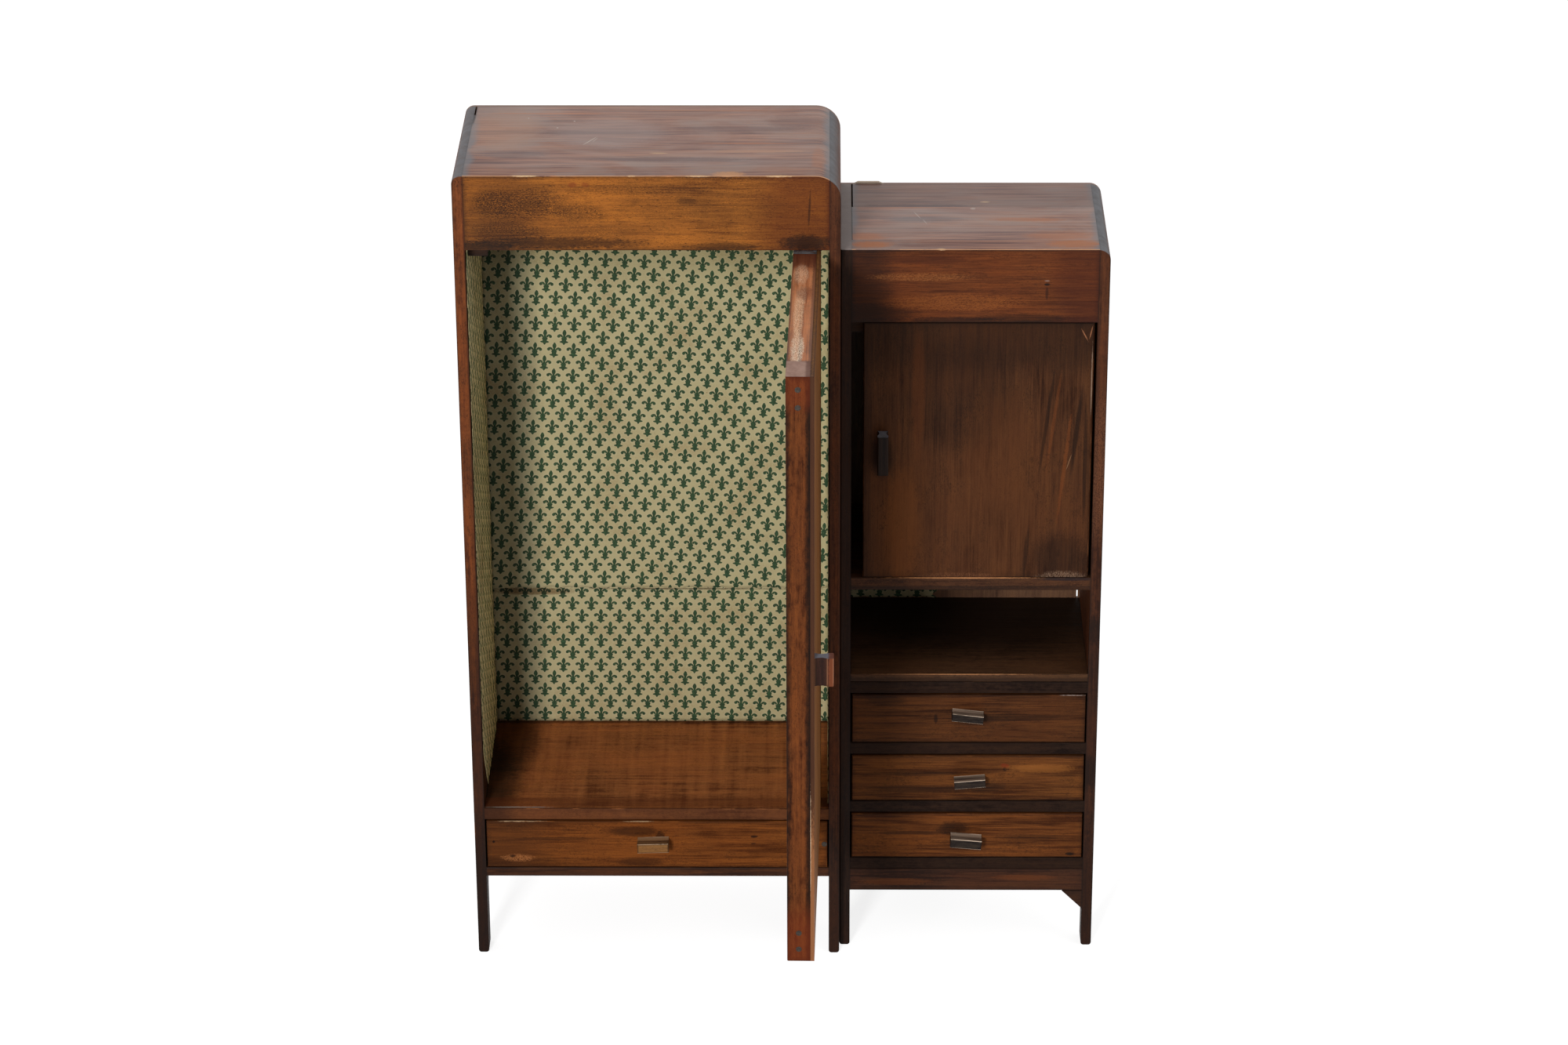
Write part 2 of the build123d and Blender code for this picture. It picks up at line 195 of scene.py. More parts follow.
class Surface:
    """A material being made, with places on the surface in millimetres of the shared frame."""

    def __init__(self, name, square=None, seed=0.0):
        self.material = bpy.data.materials.new(name)
        self.material.use_nodes = True
        self.tree = self.material.node_tree
        self.shader = self.tree.nodes["Principled BSDF"]
        self.seed = seed
        coordinates = self.tree.nodes.new("ShaderNodeTexCoord")
        self.spot = self.turned(coordinates.outputs["Object"], square, "POINT")
        self.facing = self.turned(coordinates.outputs["Normal"], square, "VECTOR")
        self.x, self.y, self.z = (part * (1 / MM) for part in parts(self.tree, self.spot))
        self.normal = parts(self.tree, self.facing)
        self.bumps = []

    def turned(self, socket, square, kind):
        """The vector brought to the pose in which the board is square."""
        if square is None or square == Matrix.Identity(4):
            return socket
        node = made(self.tree, "ShaderNodeMapping", {"Vector": socket, "Rotation": square.to_euler()})
        node.vector_type = kind
        if kind == "POINT":
            node.inputs["Location"].default_value = square.to_translation()
        return node.outputs["Vector"]

    def noise(self, scale, detail=3.0, roughness=0.55, distortion=0.0, shift=0.0, own=True):
        """Noise about 0.5. scale is how many features it has in a millimetre, or one such number
        for each axis. A pattern that isn't the board's own carries on over its neighbours."""
        steps = (scale,) * 3 if isinstance(scale, (int, float)) else scale
        seed = self.seed if own else 0.0
        mapping = made(self.tree, "ShaderNodeMapping", {
            "Vector": self.spot, "Scale": [step / MM for step in steps],
            "Location": (seed * 7.3 + shift, seed * 3.1 - shift, shift)})
        node = made(self.tree, "ShaderNodeTexNoise", {
            "Vector": mapping.outputs["Vector"], "Scale": 1.0, "Detail": detail,
            "Roughness": roughness, "Distortion": distortion})
        return Field(self.tree, node.outputs["Fac"])

    def ramp(self, field, *stops):
        """A colour for each (place, colour) along the field."""
        node = made(self.tree, "ShaderNodeValToRGB", {"Fac": field})
        elements = node.color_ramp.elements
        while len(elements) < len(stops):
            elements.new(1.0)
        for element, (place, colour) in zip(elements, stops):
            element.position = place
            element.color = colour
        return node.outputs["Color"]

    def mix(self, share, first, second, blend="MIX"):
        """The first colour, with a share of the second laid over it."""
        node = self.tree.nodes.new("ShaderNodeMix")
        node.data_type = "RGBA"
        node.blend_type = blend
        feed(node, dict(zip(COLOUR_MIX_SLOTS, (share, first, second))))
        return node.outputs[COLOUR_MIX_OUTPUT]

    def edge_distance(self, box):
        """Millimetres from the nearest edge of a board."""
        low, high = box
        depths = []
        for place, start, end in zip((self.x, self.y, self.z), low, high):
            depths.append((place - start / MM).least(end / MM - place))
        return second_least(*depths)

    def rubbed_edge(self):
        """0 on flat faces and rising on the rounded edges of a board's front and back."""
        depthwise = abs(self.normal[1])
        sideways = length(self.normal[0], self.normal[2])
        return (1 - depthwise.most(sideways)).fade(0.08, 0.26)

    def bump(self, field, height):
        """Relief, whose height is given in millimetres."""
        self.bumps.append((field, height))

    def finish(self, colour, roughness, specular=0.5, metallic=0.0):
        """Feed the shader, with the bumps chained one into the next."""
        feed(self.shader, {"Base Color": colour, "Roughness": roughness,
                           "Specular IOR Level": specular, "Metallic": metallic})
        before = {}
        for field, height in self.bumps:
            node = made(self.tree, "ShaderNodeBump", {
                "Strength": 1.0, "Distance": height * MM, "Height": field, **before})
            before = {"Normal": node.outputs["Normal"]}
        feed(self.shader, before)
        return self.material


# ---- wood
# Near black, for dirt, dark joints and painted shade.
DIRT_AND_SHADE_BLACK = srgb(20, 13, 10)
COPPER = srgb(190, 120, 78)
CREAM = srgb(220, 184, 142)
# Slate grey of a painted sheen on upward faces and rounded ends.
SLATE_PAINTED_SHEEN = srgb(128, 130, 134)
WHITE_SCRATCH = srgb(205, 190, 178)
RED_STAIN = srgb(112, 46, 22)
DARK_SHARE = (0.36, 0.31, 0.32)
LIGHT_SHARE = (1.6, 1.58, 1.35)
RED_SHARE = (0.84, 0.66, 0.62)
PORE_SHARE = (0.42, 0.36, 0.34)
RUBBED_SHARE = (2.1, 2.15, 2.2)
# The tops' colours hold a painted sheen, lighter and greyer, as well as the wood's own bleached colour.
TOP_DARK = srgb(112, 84, 80)
TOP_MIDDLE = srgb(160, 120, 106)
TOP_LIGHT = srgb(196, 148, 124)
# The grey haze of a painted sheen on the tops.
TOP_PAINTED_SHEEN = srgb(160, 144, 138)


def shade(colour, shares):
    return (*(channel * share for channel, share in zip(colour, shares)), 1.0)


def along(grain, lengthways, across):
    """One number an axis: lengthways on the grain's axis and across on the other two."""
    return tuple(lengthways if axis == grain else across for axis in "xyz")


def mark(at, size, depth, tone=DIRT_AND_SHADE_BLACK, ragged=2.4, slant=0.0, speckled=False, upright=False):
    """A stain, chip or scratch, or a painted shadow or highlight. Its place is a share of the board's box,
    its radii are millimetres, and an axis with a radius of 0 doesn't bound it. depth is how strongly it
    covers, ragged how uneven its outline is, and slant how far it leans to the right for each millimetre up
    or back.
    A speckled mark is broken up into specks, and an upright one keeps off the board's top."""
    return dict(at=at, size=size, depth=depth, tone=tone, ragged=ragged, slant=slant,
                speckled=speckled, upright=upright)


def speckles(at, size, depth, ragged=1.6, **look):
    """A speckled mark, whose outline is less uneven unless it says otherwise."""
    return mark(at, size, depth, ragged=ragged, speckled=True, **look)


def mark_cover(surface, box, look, uneven, grit=None):
    """Where a mark lies on a surface: its depth in its middle and 0 outside."""
    offsets = [place - (start + (end - start) * share) / MM
               for place, start, end, share in zip((surface.x, surface.y, surface.z), *box, look["at"])]
    offsets[0] = offsets[0] - (offsets[2] + offsets[1]) * look["slant"]
    reach = None
    for offset, radius in zip(offsets, look["size"]):
        if radius:
            scaled = offset * (1 / radius)
            reach = scaled * scaled if reach is None else reach + scaled * scaled
    cover = (reach + (uneven - 0.5) * look["ragged"]).fade(1.2, 0.2) * look["depth"]
    if look["speckled"]:
        cover = cover * grit.fade(0.42, 0.56)
    if look["upright"]:
        cover = cover * surface.normal[2].fade(0.8, 0.3)
    return cover


def weathered_top_and_sheen(surface, box):
    """The tops' bleached colour with a painted grey sheen, as one pattern over all the boards that meet
    there.
    """
    bands = surface.noise((0.007, 0.15, 0.05), 4.0, 0.6, 0.5, shift=3.0, own=False)
    lines = surface.noise((0.016, 0.7, 0.3), 4.0, 0.62, 0.3, shift=9.0, own=False)
    hairs = surface.noise((0.03, 1.9, 0.5), 3.0, 0.6, 0.2, shift=13.0, own=False)
    sheen_noise = surface.noise((0.014, 0.030, 0.02), 4.0, 0.6, 0.8, shift=17.0, own=False)
    worn = surface.noise((0.013, 0.85, 0.3), 4.0, 0.7, 0.4, shift=29.0, own=False)
    level = 0.5 + (bands - 0.5) * 1.2 + (lines - 0.5) * 1.2 + (hairs - 0.5) * 1.5 + (sheen_noise - 0.5) * 0.6
    colour = surface.ramp(level, (0.12, TOP_DARK), (0.48, TOP_MIDDLE), (0.88, TOP_LIGHT))
    # Painted sheen: grey haze laid over the tops.
    colour = surface.mix((sheen_noise * 0.8 + lines * 0.2).fade(0.42, 0.66) * 0.65, colour, TOP_PAINTED_SHEEN)
    colour = surface.mix((worn * 0.6 + hairs * 0.4).fade(0.54, 0.64) * 0.6, colour, COPPER)
    # Painted sheen: slate grey towards the ends of each top.
    from_side = (surface.x - box[0].x / MM).least(box[1].x / MM - surface.x) + (sheen_noise - 0.5) * 14
    return surface.mix(from_side.fade(4.5, 0.0) * 0.75, colour, SLATE_PAINTED_SHEEN)


def wood(node, grain, tone, streaks=0.5, threaded=1.0, blotches=0.0, cross=0.0, red=0.4, pores=0.35,
         grime=0.5, flecked=0.2, rim=0.3, rim_width=4.0, rub=0.7, wear=0.3, rub_tone=None, gloss=0.55,
         shine=0.09, weathered_and_sheen=0.0, top_sheen_tone=None, top_sheen_share=0.0, top_sheen_even=0.0, marks=(), seed=0.0):
    """Old stained wood for one board: how much its middle colour varies, its dirt, its dark rim, its
    rubbed edges and its gloss, the painted sheen on its upward face, and its marks."""
    surface = Surface(node + "_look", shut(node), seed)
    box = boxes[node]
    bands = surface.noise(along(grain, 0.009, 0.16), 3.0, 0.5, 0.5)
    figure = surface.noise(along(grain, 0.020, 0.55), 4.0, 0.6, 0.4, shift=11.0)
    threads = surface.noise(along(grain, 0.045, 1.25), 3.0, 0.6, 0.2, shift=17.0)
    fibres = surface.noise(along(grain, 0.13, 2.6), 3.0, 0.6, shift=23.0)
    patches = surface.noise(along(grain, 0.035, 0.07), 4.0, 0.65, 0.8, shift=31.0)
    clouds = surface.noise(0.022, 2.0, 0.5, 0.3, shift=37.0)
    mottle = surface.noise(along(grain, 0.20, 0.42), 4.0, 0.7, shift=41.0)
    specks = surface.noise(along(grain, 0.7, 1.9), 3.0, 0.7, shift=47.0)
    grit = surface.noise(along(grain, 1.0, 2.8), 3.0, 0.75, 0.3, shift=57.0)
    long_wear = surface.noise(0.045, 3.0, 0.6, shift=61.0)
    level = 0.5 + (bands - 0.5) * (2.2 * streaks) + (figure - 0.5) * (2.4 * streaks)
    level = level + (threads - 0.5) * (2.2 * streaks * threaded)
    level = level + (clouds - 0.5) * 0.9 + (patches - 0.5) * 0.9
    if blotches:
        level = level + (mottle - 0.5) * blotches
    if cross:
        across = surface.noise((0.20, 0.010, 0.20), 4.0, 0.62, shift=53.0)
        level = level + (across - 0.5) * cross
    dark, light = shade(tone, DARK_SHARE), shade(tone, LIGHT_SHARE)
    colour = surface.ramp(level, (0.08, dark), (0.5, tone), (0.92, light))
    redder = (clouds * 0.6 + bands * 0.4).fade(0.40, 0.62) * red
    colour = surface.mix(redder, colour, shade(tone, RED_SHARE))
    colour = surface.mix(fibres.fade(0.56, 0.70) * pores, colour, shade(tone, PORE_SHARE))
    clustered = specks.fade(0.50, 0.66) * patches.fade(0.44, 0.60)
    colour = surface.mix(clustered * grime, colour, DIRT_AND_SHADE_BLACK)
    colour = surface.mix((patches * 0.5 + mottle * 0.5).fade(0.50, 0.70) * grime, colour, DIRT_AND_SHADE_BLACK)
    colour = surface.mix(grit.fade(0.52, 0.66) * flecked, colour, light)
    colour = surface.mix(specks.fade(0.44, 0.32) * flecked, colour, DIRT_AND_SHADE_BLACK)
    edge = surface.edge_distance(box)
    near = (edge + (mottle * 0.6 + specks * 0.4 - 0.5) * rim_width * 2.4).fade(rim_width, 0.0)
    colour = surface.mix(near * rim, colour, DIRT_AND_SHADE_BLACK)
    upward = surface.normal[2].fade(0.3, 0.8)
    line = edge.fade(0.7, 0.15) * 0.5
    # Painted sheen or highlight: the upward faces take a paler or greyer colour.
    if top_sheen_tone:
        sheen_noise = (bands * 0.5 + figure * 0.3 + clouds * 0.2).fade(0.36, 0.62) * (1 - top_sheen_even) + top_sheen_even
        colour = surface.mix(upward * sheen_noise * top_sheen_share, colour, top_sheen_tone)
        line = line * (1 - upward * 0.7)
    # The tops' weathered colour with its painted sheen, on the upward faces.
    if weathered_and_sheen:
        colour = surface.mix(upward * weathered_and_sheen, colour, weathered_top_and_sheen(surface, box))
        line = line * (1 - upward * 0.85)
    colour = surface.mix(line, colour, DIRT_AND_SHADE_BLACK)
    for one in marks:
        cover = mark_cover(surface, box, one, mottle * 0.4 + specks * 0.6, grit)
        colour = surface.mix(cover, colour, one["tone"])
    worn = (long_wear * 0.8 + specks * 0.2).fade(0.66 - 0.3 * wear, 0.76 - 0.3 * wear)
    rubbed = surface.rubbed_edge() * worn * rub
    colour = surface.mix(rubbed, colour, rub_tone or shade(tone, RUBBED_SHARE))
    surface.bump(fibres, 0.02)
    surface.bump(figure, 0.06)
    surface.bump(mottle, 0.05)
    roughness = gloss + (clouds - 0.5) * 0.3 + (figure - 0.5) * 0.3 + rubbed * 0.2
    return surface.finish(colour, roughness, shine)


TALL_FASCIA_MARKS = (
    mark((0.0, 0, 0.5), (46, 0, 60), 0.4, tone=srgb(60, 30, 16), ragged=1.0, upright=True),
    mark((1.0, 0, 0.4), (44, 0, 60), 0.65, tone=srgb(70, 24, 10), ragged=1.0, upright=True),
    speckles((0.17, 0, 0.62), (26, 0, 11), 0.8),
    speckles((0.32, 0, 0.50), (16, 0, 6), 0.7),
    speckles((0.08, 0, 0.62), (13, 0, 10), 0.75),
    speckles((0.11, 0, 0.26), (20, 0, 7), 0.75),
    speckles((0.65, 0, 0.60), (50, 0, 12), 0.4),
    speckles((0.32, 0, 0.25), (40, 0, 5), 0.5),
    mark((0.19, 0, 0.60), (10, 0, 4), 0.35, ragged=3.0),
    mark((0.26, 0, 0.10), (52, 0, 3.6), 0.75, ragged=2.8),
    mark((0.05, 0, 0.06), (22, 0, 3.0), 0.75),
    speckles((0.45, 0, 0.82), (44, 0, 3.5), 0.55, ragged=2.4),
    mark((0.30, 0, 0.88), (2.6, 0, 1.6), 0.55, tone=RED_STAIN),
    mark((0.335, 0, 0.88), (2.2, 0, 1.4), 0.5, tone=RED_STAIN),
    mark((0.62, 0, 0.60), (48, 0, 0.35), 0.4),
    mark((0.61, 0, 0.66), (6, 0, 2.2), 0.4, ragged=3.2),
    mark((0.945, 0, 0.55), (0.7, 0, 11), 0.6, slant=0.05),
    mark((0.935, 0, 0.10), (15, 0, 5), 0.8, ragged=3.0),
    mark((0.70, 0, 0.05), (24, 0, 2.6), 0.6, ragged=3.0),
)
TALL_TOP_MARKS = (
    mark((0.38, 0.55, 1), (34, 24, 0), 0.4, tone=srgb(178, 158, 152), ragged=1.6),
    mark((0.10, 0.62, 1), (20, 34, 0), 0.4, tone=srgb(188, 140, 112), ragged=2.0),
    mark((0.74, 0.62, 1), (44, 4.5, 0), 0.5, tone=TOP_DARK),
    mark((0.55, 0.12, 1), (50, 3.6, 0), 0.5, tone=srgb(100, 80, 80)),
    mark((0.12, 0.20, 1), (22, 6.0, 0), 0.5, tone=srgb(112, 102, 104)),
    mark((0.90, 0.75, 1), (16, 12, 0), 0.4, tone=TOP_DARK),
    mark((0.80, 0.25, 1), (30, 2.2, 0), 0.5, tone=srgb(204, 152, 118)),
    mark((0.335, 0.42, 1), (0.5, 6.5, 0), 0.8, slant=0.55, tone=WHITE_SCRATCH, ragged=1.2),
    mark((0.35, 0.44, 1), (0.35, 3.5, 0), 0.5, slant=0.4, tone=WHITE_SCRATCH, ragged=1.2),
    mark((0.24, 0.64, 1), (0.6, 0.8, 0), 0.9, tone=WHITE_SCRATCH, ragged=0.6),
    mark((0.285, 0.75, 1), (0.6, 0.8, 0), 0.9, tone=WHITE_SCRATCH, ragged=0.6),
    mark((0.155, 0.80, 1), (0.5, 0.7, 0), 0.8, tone=WHITE_SCRATCH, ragged=0.6),
    mark((0.78, 0.38, 1), (34, 0.9, 0), 0.75, tone=COPPER),
    mark((0.22, 0.88, 1), (36, 1.2, 0), 0.55, tone=COPPER),
    mark((0.66, 0.93, 1), (50, 1.0, 0), 0.5, tone=COPPER),
    mark((0.53, 0.22, 1), (5, 1.0, 0), 0.6, tone=CREAM, ragged=3.0),
    mark((0.97, 0.1, 1), (4, 22, 0), 0.35, tone=COPPER),
    mark((0.0, 0.9, 1), (1.4, 22, 0), 0.8, ragged=0.8),
)
FASCIA_CHIPS = (
    mark((0.17, 0, 1), (8, 0.9, 0.7), 0.9, tone=CREAM, ragged=3.0),
    mark((0.25, 0, 1), (3, 0.7, 0.5), 0.8, tone=COPPER, ragged=3.0),
    mark((0.46, 0, 1), (3, 0.8, 0.6), 0.8, tone=CREAM, ragged=3.0),
    mark((0.56, 0, 1), (5, 0.8, 0.6), 0.8, tone=COPPER, ragged=3.0),
    mark((0.64, 0, 1), (8, 1.0, 0.7), 0.85, tone=CREAM, ragged=3.0),
    mark((0.725, 0.18, 1), (9, 4.5, 0.7), 0.9, tone=srgb(212, 156, 114), ragged=3.0),
    mark((0.86, 0, 1), (9, 1.0, 0.8), 0.95, tone=CREAM, ragged=3.0),
)

LOW_FASCIA_MARKS = (
    # Painted shadow of the open tall door over the fascia's left end.
    mark((0.0, 0, 0.5), (24, 0, 60), 0.7, tone=srgb(26, 14, 10), ragged=1.2, upright=True),
    mark((0.08, 0, 0.12), (26, 0, 6), 0.6),
    speckles((0.42, 0, 0.27), (40, 0, 5.5), 0.45, tone=srgb(150, 84, 36)),
    mark((0.42, 0, 0.27), (30, 0, 4.0), 0.2, tone=srgb(136, 76, 34), ragged=3.0),
    speckles((0.28, 0, 0.62), (30, 0, 2.6), 0.5, tone=srgb(150, 92, 48)),
    mark((0.30, 0, 0.85), (26, 0, 2.8), 0.5, tone=srgb(56, 24, 14)),
    mark((0.42, 0, 0.03), (26, 0, 2.4), 0.6, ragged=2.8),
    mark((0.79, 0, 0.52), (1.8, 0, 0.8), 0.95, ragged=0.8),
    mark((0.79, 0, 0.57), (1.5, 0, 0.4), 0.6, tone=srgb(150, 130, 120), ragged=0.8),
    mark((0.79, 0, 0.40), (0.9, 0, 4), 0.6),
    mark((1.0, 0, 0.5), (26, 0, 60), 0.5, tone=srgb(62, 26, 16), ragged=1.4, upright=True),
    mark((0.70, 0, 0.06), (26, 0, 3.2), 0.5),
    mark((0.08, 0.5, 1), (12, 5.0, 0), 0.8, tone=COPPER, ragged=3.0),
    mark((0.36, 0, 1), (3, 1.4, 0.7), 0.8, tone=CREAM, ragged=3.0),
    mark((0.90, 0.6, 1), (16, 6.0, 0), 0.7, tone=COPPER, ragged=3.0),
)
LOW_TOP_MARKS = (
    mark((0.84, 0.15, 1), (20, 7.0, 0), 0.5, tone=COPPER, ragged=2.6),
    mark((0.05, 0.10, 1), (12, 6.0, 0), 0.6, tone=COPPER, ragged=2.8),
    mark((0.70, 0.62, 1), (24, 3.0, 0), 0.5, tone=COPPER, ragged=2.8),
    mark((0.60, 0.22, 1), (50, 2.0, 0), 0.5, tone=TOP_DARK),
    mark((0.30, 0.62, 1), (26, 4.0, 0), 0.5, tone=srgb(104, 98, 102)),
    mark((0.27, 0.75, 1), (0.35, 5.5, 0), 0.55, slant=-0.35, tone=WHITE_SCRATCH, ragged=1.0),
    mark((0.30, 0.55, 1), (0.35, 3.5, 0), 0.5, slant=-0.3, tone=WHITE_SCRATCH, ragged=1.0),
    mark((0.50, 0.95, 1), (1.6, 1.6, 0), 0.5, tone=WHITE_SCRATCH),
    mark((0.0, 0.5, 1), (0.5, 0, 0), 0.9, ragged=1.6),
)
LOW_REAR_MARKS = (
    mark((0.5, 0.5, 1), (0, 40, 0), 0.45, tone=srgb(104, 88, 84), ragged=0.8),
    mark((0.25, 0.05, 1), (36, 3.0, 0), 0.6, tone=srgb(84, 72, 74)),
    mark((0.55, 0.22, 1), (3.0, 1.2, 0), 0.5, tone=CREAM, ragged=2.8),
)
BACK_LIP_MARKS = (mark((0.107, 0.5, 1), (9, 0, 2.4), 1.0, tone=srgb(224, 204, 182), ragged=1.6),)
FLOOR_MARKS = (
    # Painted shadow of the left side over the floor's left part.
    mark((0.05, 0.75, 1), (20, 44, 0), 0.75, ragged=1.2),
    mark((0.0, 0.3, 1), (22, 56, 0), 0.85, tone=srgb(30, 22, 17), ragged=1.4),
    mark((0.5, 1.0, 1), (0, 3.5, 0), 0.6, ragged=2.2),
    mark((0.5, 0.07, 1), (0, 6.5, 0), 0.55, tone=srgb(96, 48, 26), ragged=1.8),
    mark((0.5, 0.0, 0.5), (0, 1.2, 0), 0.75, tone=srgb(60, 34, 22), ragged=1.2),
    mark((0.10, 0.015, 1), (20, 0.7, 0.7), 0.6, tone=srgb(180, 172, 164), ragged=3.0),
)
NICHE_MARKS = (
    # Painted shade over the back of the niche floor, under the shelf.
    mark((0.5, 1.0, 1), (110, 82, 0), 0.88, ragged=0.8),
    mark((0.45, 0, 1), (54, 0.8, 0.6), 0.8, tone=srgb(168, 116, 76)),
    mark((0.5, 0, 0.0), (0, 0, 3.4), 0.6, ragged=1.4),
)
SHELF_MARKS = (
    mark((0.46, 0, 1), (50, 0.9, 0.6), 0.9, tone=srgb(202, 140, 92), ragged=2.2),
    mark((0.5, 0, 0.2), (0, 0, 1.6), 0.5, ragged=1.4),
    mark((0.90, 0, 0.9), (16, 6, 1.2), 0.6, tone=srgb(20, 22, 28), ragged=1.6),
)
DOOR_SLAB_MARKS = (
    # Painted shade across the small door's top, under the fascia.
    mark((0.5, 0, 1), (0, 0, 30), 0.5, ragged=1.0),
    mark((0.0, 0, 0.5), (5, 0, 0), 0.25, ragged=1.8),
    mark((0.42, 0, 0.72), (34, 0, 36), 0.4, ragged=1.6),
    mark((0.60, 0, 0.34), (30, 0, 62), 0.14, tone=srgb(110, 64, 32), ragged=2.0),
    mark((0.17, 0, 0.20), (11, 0, 40), 0.32, tone=srgb(122, 70, 32), ragged=2.0),
    mark((0.24, 0, 0.72), (4, 0, 40), 0.2, tone=srgb(110, 58, 28), ragged=3.0),
    mark((0.93, 0, 0.58), (1.5, 0, 26), 0.7, slant=0.1, ragged=1.8),
    mark((0.88, 0, 0.44), (1.2, 0, 34), 0.35, slant=0.1, tone=srgb(124, 66, 30), ragged=3.0),
    mark((0.83, 0, 0.62), (1.0, 0, 30), 0.3, slant=0.12, tone=srgb(120, 64, 30), ragged=3.0),
    mark((0.80, 0, 0.62), (1.2, 0, 34), 0.6, slant=0.12, ragged=2.0),
    mark((0.97, 0, 0.45), (1.2, 0, 40), 0.6, ragged=1.8),
    mark((0.72, 0, 0.10), (1.4, 0, 16), 0.5, slant=0.08, ragged=2.2),
    mark((0.88, 0, 0.08), (17, 0, 16), 0.45, ragged=3.6),
    mark((0.08, 0, 0.48), (7, 0, 14), 0.7, ragged=1.4),
    mark((0.955, 0, 0.955), (0.4, 0, 3.6), 0.7, slant=-0.5, tone=srgb(160, 106, 74)),
    mark((0.982, 0, 0.965), (0.35, 0, 3.8), 0.7, slant=0.2, tone=srgb(160, 106, 74)),
    mark((0.90, 0, 0.46), (0.3, 0, 5), 0.5, slant=0.3, tone=srgb(150, 112, 80), ragged=1.0),
    speckles((0.88, 0, 0.0), (14, 0, 4.0), 0.45, tone=srgb(160, 128, 104), ragged=2.4),
    speckles((0.42, 0, 0.0), (24, 0, 3.0), 0.3, tone=srgb(140, 90, 60), ragged=2.4),
    mark((0.99, 0, 0.78), (0.4, 0, 22), 0.6, tone=srgb(170, 140, 118), ragged=2.6),
)
WIDE_DRAWER_MARKS = (
    mark((0.435, 0, 0.78), (17, 0, 3.5), 0.6),
    mark((0.51, 0, 0.66), (3, 0, 4), 0.7, ragged=1.4),
    mark((0.45, 0, 0.12), (14, 0, 3.4), 0.55),
    mark((0.20, 0, 0.62), (26, 0, 1.4), 0.5),
    mark((0.0, 0, 0.5), (40, 0, 40), 0.5, tone=srgb(54, 32, 18), ragged=1.6),
    mark((0.785, 0, 0.67), (2.2, 0, 0.8), 0.85, ragged=1.8),
    mark((0.783, 0, 0.52), (1.6, 0, 0.6), 0.6, ragged=1.8),
    speckles((0.09, 0, 0.20), (10, 0, 2.6), 0.6, tone=srgb(176, 112, 66), ragged=2.0),
    mark((0.075, 0, 0.24), (2, 0, 1.0), 0.8, ragged=2.0),
    mark((0.10, 0, 1), (18, 0.7, 0.5), 0.6, tone=CREAM, ragged=3.2),
    mark((0.45, 0, 1), (10, 0.7, 0.5), 0.5, tone=CREAM, ragged=3.2),
    mark((0.02, 0, 0.55), (0.9, 0, 0.9), 0.9, ragged=0.8),
)
DRAWER_1_MARKS = (
    mark((0.36, 0, 0.5), (1.2, 0, 3.4), 0.7),
    mark((0.15, 0, 0.88), (12, 0, 3.0), 0.5),
    mark((0.70, 0, 0.52), (30, 0, 2.4), 0.5),
    mark((0.94, 0, 1), (9, 0.7, 0.5), 0.7, tone=srgb(170, 150, 140), ragged=2.8),
    mark((0.52, 0, 0.50), (13, 0, 4), 0.5),
)
DRAWER_2_MARKS = (
    mark((0.66, 0, 0.78), (2.6, 0, 1.6), 0.8, slant=-0.4, tone=RED_STAIN, ragged=1.8),
    mark((0.66, 0, 0.70), (1.2, 0, 1.4), 0.7, ragged=1.6),
    mark((0.82, 0, 0.72), (20, 0, 3.0), 0.5, tone=srgb(150, 92, 42)),
    mark((0.30, 0, 0.25), (36, 0, 2.6), 0.55),
    mark((0.58, 0, 0.30), (13, 0, 3), 0.5),
    mark((0.30, 0, 0.60), (30, 0, 1.6), 0.45),
)
DRAWER_3_MARKS = (
    mark((0.44, 0, 0.66), (10, 0, 5), 0.7),
    mark((0.30, 0, 0.56), (24, 0, 1.4), 0.5),
    mark((0.78, 0, 0.46), (24, 0, 2.0), 0.45),
    mark((0.95, 0, 0.08), (3, 0, 1.2), 0.9, ragged=1.6),
)
APRON_MARKS = (
    mark((0.2, 0, 0.4), (22, 0, 2.4), 0.5, tone=srgb(104, 56, 28)),
    mark((0.75, 0, 0.6), (20, 0, 2.0), 0.5, tone=srgb(104, 56, 28)),
)
TOP_RAIL_MARKS = (
    mark((0.5, 0.0, 1), (0, 1.6, 0), 0.6, tone=srgb(70, 40, 30), ragged=1.4),
    mark((0.5, 1.0, 1), (0, 1.0, 0), 0.6, tone=srgb(96, 54, 38), ragged=1.4),
    mark((1.0, 0.5, 1), (24, 0, 0), 0.85, tone=srgb(84, 40, 26), ragged=1.8),
    # Painted highlights: pale glossy streaks on the rail's top.
    speckles((0.80, 0.6, 1), (14, 4.2, 0), 0.8, tone=srgb(240, 196, 160), ragged=1.8),
    speckles((0.10, 0.60, 1), (26, 3.4, 0), 0.9, tone=srgb(252, 226, 196), ragged=2.2),
    speckles((0.12, 0.40, 1), (14, 1.2, 0), 0.7, tone=srgb(252, 226, 196), ragged=4.0),
    speckles((0.42, 0.62, 1), (40, 2.8, 0), 0.9, tone=srgb(248, 204, 164), ragged=2.2),
    speckles((0.60, 0.45, 1), (16, 1.6, 0), 0.6, tone=srgb(248, 204, 164), ragged=4.0),
    mark((0.62, 0.4, 1), (10, 5, 0), 0.5, tone=srgb(120, 66, 44), ragged=3.0),
)
STILE_MARKS = (
    mark((0, 0.0, 0.5), (0, 2.8, 0), 0.6, ragged=0.8),
    mark((0, 0.5, 1.0), (0, 0, 20), 0.4, tone=RED_STAIN, ragged=1.6),
    mark((0, 0.5, 0.0), (0, 0, 34), 0.5, tone=RED_STAIN, ragged=1.6),
)
